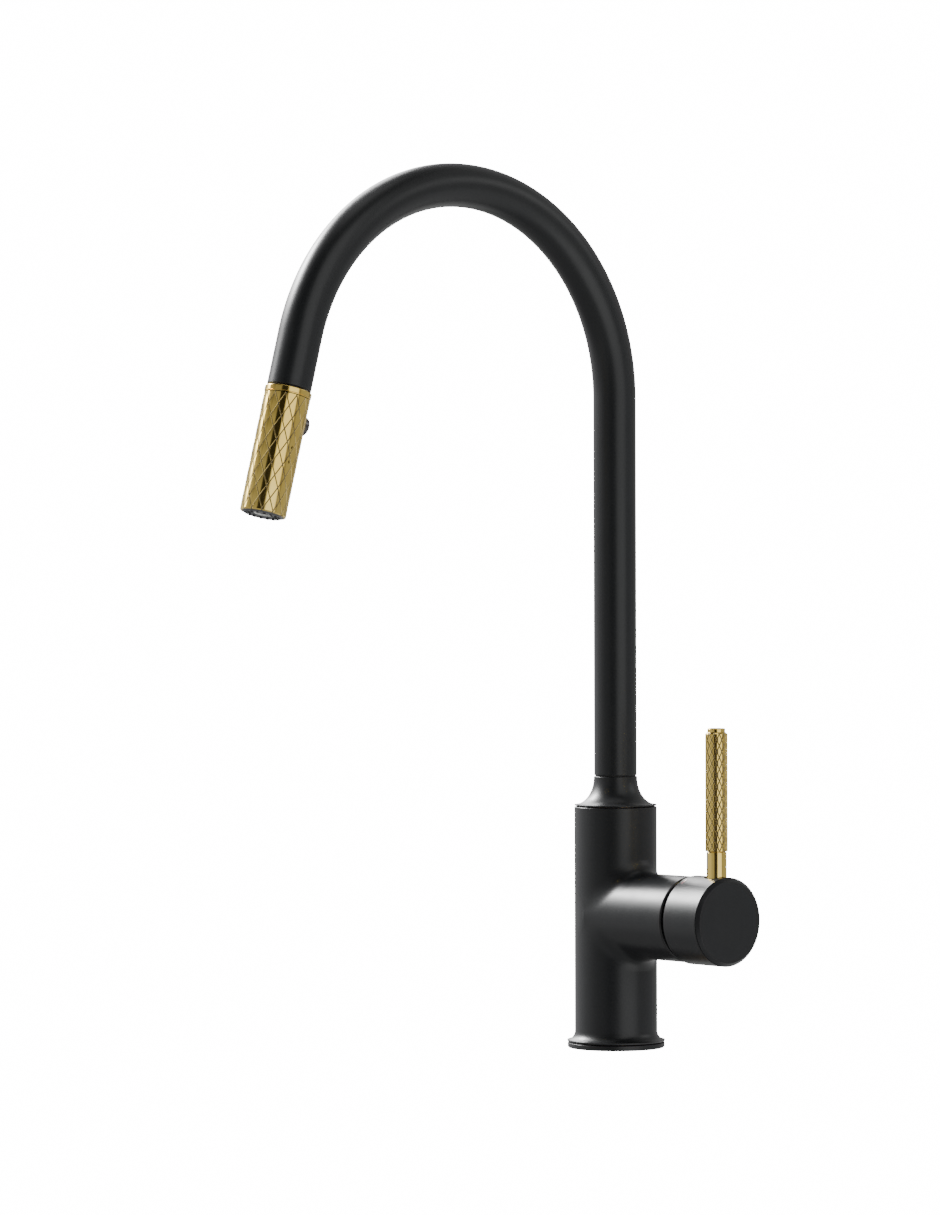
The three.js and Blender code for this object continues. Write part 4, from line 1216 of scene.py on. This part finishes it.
# %% Ring of the aerator
AERATOR_RADIUS = 4.8
AERATOR_BORE = 4.0
AERATOR_TOP = -48
turn("aerator_ring", [
    (AERATOR_BORE, AERATOR_TOP), (AERATOR_RADIUS, AERATOR_TOP, 0.2), (AERATOR_RADIUS, HEAD_LOW, 0.2),
    (4.1, HEAD_LOW, 0.15), (AERATOR_BORE, HEAD_LOW + 0.8, 0.1), (AERATOR_BORE, AERATOR_TOP - 0.2),
], "aerator_insert", HEAD, 64)

# %% Fine woven mesh in the aerator
WIRE_RADIUS = 0.11
WIRE_SPACING = 0.62
WIRE_WAVE = 0.09


def make_gauze():
    """Wires both ways, each waving over and under the ones that it crosses."""
    shell = Shell()
    pieces, sides = 24, 6
    for crosswise in (0, 1):
        for index in range(-6, 7):
            offset = index * WIRE_SPACING
            reach = math.sqrt(max((AERATOR_BORE + 0.05) ** 2 - offset ** 2, 0.01))
            rows = []
            for step in range(pieces + 1):
                along = -reach + 2 * reach * step / pieces
                wave = WIRE_WAVE * math.sin(math.pi * (along / WIRE_SPACING + index + crosswise))
                ring = []
                for across, up, height in circle(WIRE_RADIUS, HEAD_LOW + 0.9 + wave, sides):
                    side = offset + across
                    ring.append((along, side, height + up) if crosswise else (side, along, height + up))
                rows.append(shell.row(ring))
            shell.rows(rows)
    return build(shell, "aerator_gauze", HEAD, None, "grey_plastic", "spray_head", weld=0)


make_gauze()

# %% [markdown]
# ## The pull-out hose
# A braided hose runs through the whole spout. When the head is pulled down, more hose comes out of
# the tube. So the last stretch before the ferrule is drawn as a piece of its own.
# Its rings and its weave are spaced for the pulled-out length, where they are seen.

# %% Hose dimensions
HOSE_RADIUS = 5.6
HOSE_LOW = span("pull_out_hose", Z)[0]
FERRULE_LOW, FERRULE_TOP = head_span("hose_ferrule")
HOSE_STOP = FERRULE_TOP + 1.4
HOSE_LENGTH = BEND_Z - HOSE_LOW + BEND_LENGTH + TAIL
PULL = JOINTS["head_pull"]["range_m"][1] / MM
STRETCH = 26.0
WEAVE_PITCH = 9.0


def hose_rows(shell, marks, run):
    """Rings at distances from the hose's lower end. run gives the length along the weave."""
    sides, strands = 48, 8
    angles = np.arange(sides + 1) * 2 * math.pi / sides
    rows = []
    for distance, length in zip(marks, run):
        ring = ring_across(*spout_frame(distance, HOSE_LOW), HOSE_RADIUS, angles)
        turned = math.pi * strands * length / WEAVE_PITCH
        rows.append(shell.row(ring, [(strands * angle, turned) for angle in angles]))
    shell.rows(rows, closed=False)


# %% The part of the hose that stays with the spout
hidden = Shell()
hose_bend = BEND_Z - HOSE_LOW
still_end = HOSE_LENGTH - HOSE_STOP - STRETCH
still_marks = [0, *np.linspace(4, hose_bend, 40), *np.linspace(hose_bend + 3, still_end, 90)]
hose_rows(hidden, still_marks, still_marks)
build(hidden, "hose_in_spout", COLUMN, "pull_out_hose", weld=0)

# %% The stretch that comes out with the head
shares = np.linspace(0, 1, 400)
travel = shares * STRETCH + PULL * (3 * shares ** 2 - 2 * shares ** 3)
run = np.linspace(0, travel[-1], 140)
moving = Shell()
hose_rows(moving, still_end + np.interp(run, travel, shares) * STRETCH, run)
moving_hose = build(moving, "hose_pulled_out", COLUMN, None, "hose_nylon", None, weld=0)
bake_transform(moving_hose)
print("hose:", round(HOSE_LENGTH), "mm, pulls out", round(PULL), "mm")

# %% Crimped ferrule at the hose's end
FERRULE_RADIUS, CRIMP_RADIUS, FERRULE_BORE = 6.1, 5.75, 3.5
TAIL_RADIUS = 5.65
TAIL_TOP = FERRULE_TOP + 1.6
crimps = []
for height in (FERRULE_TOP - 12, FERRULE_TOP - 8, FERRULE_TOP - 4):
    crimps += [
        (FERRULE_RADIUS, height - 0.9, 0.2), (CRIMP_RADIUS, height - 0.4, 0.3),
        (CRIMP_RADIUS, height + 0.4, 0.3), (FERRULE_RADIUS, height + 0.9, 0.2),
    ]
turn("crimped_ferrule", [
    (FERRULE_BORE, FERRULE_LOW), (FERRULE_RADIUS, FERRULE_LOW), (FERRULE_RADIUS, FERRULE_LOW + 1), *crimps,
    (FERRULE_RADIUS, FERRULE_TOP - 0.6, 0.3), (TAIL_RADIUS, FERRULE_TOP, 0.15),
    (TAIL_RADIUS, TAIL_TOP), (FERRULE_BORE, TAIL_TOP),
], "hose_ferrule", HEAD, 64)

# %% [markdown]
# ## Below the deck
# A threaded brass shank goes through the deck, with a rubber washer, a steel washer and a plastic
# wing nut to clamp it. The thread is a real spiral on the shank's surface.

# %% Threaded shank
SHANK_RADIUS = radius_of("mounting_shank")
SHANK_LOW, SHANK_TOP = span("mounting_shank", Z)
THREAD_PITCH, THREAD_DEPTH = 2.0, 0.75
THREAD_LOW, THREAD_HIGH = SHANK_LOW + 1.2, -3.0
SHANK_BORE = 14.9


def thread_radius(height, turned):
    """Radius of the thread's surface. turned is the share of a turn, and both ends run out."""
    ease = min(1.0, (height - THREAD_LOW) / THREAD_PITCH, (THREAD_HIGH - height) / THREAD_PITCH)
    phase = (height / THREAD_PITCH - turned) % 1.0
    ridge = min(1.0, max(0.0, 1.25 - 2.5 * abs(phase - 0.5)))
    return SHANK_RADIUS - THREAD_DEPTH * (1 - ridge * ease)


def make_shank():
    sides = 60
    root = SHANK_RADIUS - THREAD_DEPTH
    foot = [(SHANK_BORE, SHANK_TOP), (SHANK_BORE, SHANK_LOW + 0.3), (SHANK_BORE + 0.2, SHANK_LOW),
            (SHANK_RADIUS - 1.0, SHANK_LOW), (root, SHANK_LOW + 0.4)]
    neck = [(root, THREAD_HIGH), (SHANK_RADIUS, THREAD_HIGH + 0.5), (SHANK_RADIUS, SHANK_TOP)]
    shell = Shell()
    rows = [shell.row(circle(radius, height, sides)) for radius, height in foot]
    for height in np.arange(THREAD_LOW, THREAD_HIGH, THREAD_PITCH / 8):
        row = []
        for k, (x, y, _) in enumerate(circle(1.0, 0, sides)):
            radius = thread_radius(height, k / sides)
            row.append((radius * x, radius * y, height))
        rows.append(shell.row(row))
    rows += [shell.row(circle(radius, height, sides)) for radius, height in neck]
    shell.rows(rows, looped=True)
    return build(shell, "threaded_shank", COLUMN, "mounting_shank")


make_shank()

# %% Washers and seal
WASHERS = (
    # engineering piece, name, bore radius, fillet
    ("deck_washer_rubber", "rubber_washer", SHANK_RADIUS + 0.3, 0.6),
    ("deck_washer_steel", "steel_washer", SHANK_RADIUS + 0.3, 0.25),
    ("base_seal", "flange_seal", 20.3, 0.3),
)
for node, name, inside, ease in WASHERS:
    low, high = span(node, Z)
    outside = radius_of(node, Y)
    corners = ((inside, low), (outside, low), (outside, high), (inside, high))
    turn(name, [(*corner, ease) for corner in corners], node)

# %% Wing nut: a collar with two wings and fine ribs to hold it by
NUT_LOW, NUT_HIGH = span("mounting_nut", Z)
NUT_RADIUS = 23.0
WING_REACH = radius_of("mounting_nut", X)


def draw_wing(shell, side):
    """One wing as a row of eight-cornered sections, on one side of the nut."""
    sections = [
        # distance from the axis, half width, how far the edges draw in
        (21.5, 3.5, 0), (24, 3.5, 0), (26, 2.6, 0.3), (29, 2.2, 0.8), (WING_REACH - 1.2, 2.0, 1.4),
        (WING_REACH - 0.4, 1.7, 1.8), (WING_REACH, 1.0, 2.6),
    ]
    rows = []
    for x, half, inset in sections:
        bottom, top = NUT_LOW + 0.6 + inset, NUT_HIGH - 0.8 - inset
        bevel = min(0.9, half * 0.6)
        right = [(half - bevel, bottom), (half, bottom + bevel), (half, top - bevel), (half - bevel, top)]
        left = [(-y, z) for y, z in right[::-1]]
        outline = [*left[2:], *right, *left[:2]]
        rows.append(shell.row([(side * x, y, z) for y, z in outline]))
    shell.rows(rows)
    shell.fan(rows[-1], (side * WING_REACH, 0, (NUT_LOW + NUT_HIGH) / 2))


def draw_rib(shell, around):
    x, y = NUT_RADIUS * math.cos(around), NUT_RADIUS * math.sin(around)
    profile = [(0.2, NUT_LOW + 3.2), (0.75, NUT_LOW + 3.6), (0.75, NUT_HIGH - 1.6), (0.2, NUT_HIGH - 1.2)]
    rows = []
    for radius, height in profile:
        rows.append(shell.row([(x + a, y + b, z) for a, b, z in circle(radius, height, 12)]))
    shell.rows(rows)


def make_wing_nut():
    inside = SHANK_RADIUS + 0.3
    shell = turned_shell([
        (inside, NUT_LOW, 0.4), (22.2, NUT_LOW, 1.0), (NUT_RADIUS, NUT_LOW + 3, 0.6),
        (NUT_RADIUS, NUT_HIGH - 0.8, 0.6), (22.4, NUT_HIGH, 0.3), (inside, NUT_HIGH),
    ], 96)
    for side in (-1, 1):
        draw_wing(shell, side)
    places = 24
    for k in range(places):
        under_wing = k % (places // 2) in (0, 1, places // 2 - 1)
        if not under_wing:
            draw_rib(shell, 2 * math.pi * k / places)
    return build(shell, "wing_nut", COLUMN, "mounting_nut")


make_wing_nut()

# %% [markdown]
# ## Docking
# When the head is let go, a ring magnet and a guide cone draw it back onto the tube. The neck that
# goes up into the tube, the magnet and its steel armature are seen only while the head is pulled
# down. They are plain turned rings, so each is one short outline.

# %% Neck of the head's core
NECK_RADIUS, NECK_GROOVE, NECK_BORE = 7.3, 7.05, 6.5
turn("head_neck", [
    (NECK_BORE, 5.6), (6.7, 6.05, 0.15), (7.1, 6.05, 0.3), (NECK_RADIUS, 4.5, 0.5), (NECK_RADIUS, 2.6, 0.1),
    (NECK_GROOVE, 2.4, 0.1), (NECK_GROOVE, 1.6, 0.1), (NECK_RADIUS, 1.4, 0.1),
    (NECK_RADIUS, RING_HIGH - 0.3), (NECK_BORE, RING_HIGH - 0.3),
], None, HEAD, 96, slot_name="grey_plastic", body="spray_head")

# %% Armature, guide cone and magnet
ARMATURE_LOW, ARMATURE_HIGH = head_span("dock_armature")
MAGNET_LOW, MAGNET_HIGH = head_span("dock_magnet")
turn("armature_ring", [
    (7.6, ARMATURE_LOW), (8.9, ARMATURE_LOW), (8.9, ARMATURE_HIGH, 0.2), (7.6, ARMATURE_HIGH, 0.2),
], "dock_armature", HEAD, 96)
turn("guide_cone", [
    (7.8, 3.2), (8.4, 3.2, 0.2), (9.8, 3.2, 0.2), (9.2, 12), (7.8, 12),
], "dock_guide", HEAD, 96)
turn("magnet_ring", [
    (7.8, MAGNET_LOW, 0.15), (9.8, MAGNET_LOW, 0.15), (9.8, MAGNET_HIGH), (7.8, MAGNET_HIGH),
], "dock_magnet", HEAD, 96)

# %% [markdown]
# ## Pieces carried over
# The remaining pieces are inside or under the faucet. Each keeps its exact engineering shape and
# takes its finish from the record.

# %% Finishes for the engineering pieces
BARREL_NODES = {"waterway_block", "cartridge_nut", "mixing_spindle"}
for name, node in frame["nodes"].items():
    finish = BARREL_BRASS if name in BARREL_NODES else MATERIALS[NODE_SLOT[name]]
    node.data.materials.clear()
    node.data.materials.append(finish)
print("finishes given to", len(frame["nodes"]), "engineering pieces")

# %% [markdown]
# ## Room and camera
# Gold shows only what is around it, so the lighting is a whole room and not a few lamps. The room is
# drawn straight into the sky as soft-edged bright rectangles. A direction of 0 degrees is from the
# faucet to the camera, and 90 degrees is to the camera's right. It is dark behind the camera, with a
# tall bright window to its right, grey walls all round, and strong high lights at the far left. The
# camera itself sees plain white.

# %% One window of the room
def window(tree, side, height, sides, heights, soft, strength):
    """A soft-edged bright rectangle in the room, by direction in degrees."""
    near = ramp(tree, side, sides[0] - soft, sides[0] + soft)
    far = ramp(tree, side, sides[1] - soft, sides[1] + soft, 1.0, 0.0)
    low = ramp(tree, height, heights[0] - soft, heights[0] + soft)
    high = ramp(tree, height, heights[1] - soft, heights[1] + soft, 1.0, 0.0)
    across = math_node(tree, "MULTIPLY", near, far)
    upright = math_node(tree, "MULTIPLY", low, high)
    return math_node(tree, "MULTIPLY", math_node(tree, "MULTIPLY", across, upright), strength)


# %% The whole room
CAMERA_TURN = 42.0
PLAIN_WHITE = 16.0
UNLIT_WALL = 0.03
WINDOWS = [
    # left and right edge, low and high edge, softness (all in degrees), strength
    ((10, 60), (-50, 50), 5, 1.7),
    ((66, 178), (-60, 60), 8, 0.46),
    ((-64, -28), (-25, 28), 5, 0.46),
    ((-145, -64), (-18, 24), 8, 0.72),
    ((-178, -145), (-20, 12), 6, 0.5),
    ((-178, -145), (14, 60), 6, 1.2),
    ((-174, -158), (18, 50), 4, 9.0),
    ((-160, -104), (18, 43), 4, 14.0),
    ((-140, -108), (30, 39), 3, 120.0),
    ((-178, -166), (8, 18), 3, 3.0),
    ((74, 108), (13, 29), 6, 1.6),
    ((-180, 180), (-95, -14), 6, 0.45),
    ((-180, 180), (75, 95), 8, 1.5),
]


def make_room():
    world = bpy.data.worlds.new("room")
    bpy.context.scene.world = world
    world.use_nodes = True
    tree = world.node_tree
    tree.nodes.clear()
    direction = add_node(tree, "ShaderNodeTexCoord").outputs["Generated"]
    split = add_node(tree, "ShaderNodeSeparateXYZ", None, {0: direction})
    bearing = math_node(tree, "ARCTAN2", split.outputs["Y"], split.outputs["X"])
    degrees = math_node(tree, "MULTIPLY", bearing, 180 / math.pi)
    turned = math_node(tree, "ADD", degrees, CAMERA_TURN)
    side = add_node(tree, "ShaderNodeMath", {"operation": "WRAP"}, {0: turned, 1: 180.0, 2: -180.0})
    rise = math_node(tree, "ARCSINE", split.outputs["Z"])
    height = math_node(tree, "MULTIPLY", rise, 180 / math.pi)
    total = UNLIT_WALL
    for spec in WINDOWS:
        total = math_node(tree, "ADD", window(tree, side.outputs[0], height, *spec), total)
    lit = add_node(tree, "ShaderNodeBackground", None, {"Color": (1, 1, 1, 1), "Strength": total})
    plain = add_node(tree, "ShaderNodeBackground", None, {"Color": (1, 1, 1, 1), "Strength": PLAIN_WHITE})
    seen = add_node(tree, "ShaderNodeLightPath").outputs["Is Camera Ray"]
    mix = add_node(tree, "ShaderNodeMixShader", None, {0: seen, 1: lit.outputs[0], 2: plain.outputs[0]})
    out = tree.nodes.new("ShaderNodeOutputWorld")
    tree.links.new(mix.outputs[0], out.inputs["Surface"])


make_room()

# %% The deck: a plain white surface that only the camera sees
DECK_RADIUS = 6.0


def make_deck():
    bm = bmesh.new()
    bmesh.ops.create_circle(bm, cap_ends=True, cap_tris=False, segments=96, radius=DECK_RADIUS)
    mesh = bpy.data.meshes.new("deck")
    bm.to_mesh(mesh)
    bm.free()
    material = bpy.data.materials.new("deck_white")
    material.use_nodes = True
    tree = material.node_tree
    shader = tree.nodes["Principled BSDF"]
    shader.inputs["Base Color"].default_value = (0.25, 0.25, 0.25, 1)
    shader.inputs["Roughness"].default_value = 0.6
    glow = add_node(tree, "ShaderNodeEmission", None, {"Color": (1, 1, 1, 1), "Strength": PLAIN_WHITE})
    seen = add_node(tree, "ShaderNodeLightPath").outputs["Is Camera Ray"]
    mix = add_node(tree, "ShaderNodeMixShader", None, {0: seen, 1: shader.outputs[0], 2: glow.outputs[0]})
    tree.links.new(mix.outputs[0], tree.nodes["Material Output"].inputs["Surface"])
    mesh.materials.append(material)
    deck = bpy.data.objects.new("deck", mesh)
    bpy.context.scene.collection.objects.link(deck)
    for kind in ("diffuse", "glossy", "transmission", "volume_scatter", "shadow"):
        setattr(deck, "visible_" + kind, False)


make_deck()

# %% Camera: to the side of the handle, level with the middle of the riser
CAMERA_DISTANCE = 2.7
CAMERA_HEIGHT = 0.2627
CAMERA_LENS = 148.148  # millimetres, for a picture 36 mm high


def make_camera():
    """The camera stands CAMERA_TURN degrees to the side of the handle, and looks almost level."""
    turn_angle = math.radians(CAMERA_TURN)
    pan, pitch, roll = -0.029, -0.0093, -0.0029  # radians
    across = Vector((math.sin(turn_angle), math.cos(turn_angle), 0))
    away = Vector((-math.cos(turn_angle), math.sin(turn_angle), 0))
    up = Vector((0, 0, 1))
    right = math.cos(pan) * across - math.sin(pan) * away
    ahead = math.sin(pan) * across + math.cos(pan) * away
    forward = math.cos(pitch) * ahead + math.sin(pitch) * up
    top = math.cos(pitch) * up - math.sin(pitch) * ahead
    rolled_right = math.cos(roll) * right + math.sin(roll) * top
    rolled_top = math.cos(roll) * top - math.sin(roll) * right
    data = bpy.data.cameras.new("camera")
    camera = bpy.data.objects.new("camera", data)
    data.sensor_width = 36
    data.lens = CAMERA_LENS
    data.clip_start = 0.1
    data.clip_end = 50
    matrix = Matrix((rolled_right, rolled_top, -forward)).transposed().to_4x4()
    camera.matrix_world = Matrix.Translation(CAMERA_HEIGHT * up - CAMERA_DISTANCE * away) @ matrix
    bpy.context.scene.collection.objects.link(camera)
    bpy.context.scene.camera = camera


make_camera()
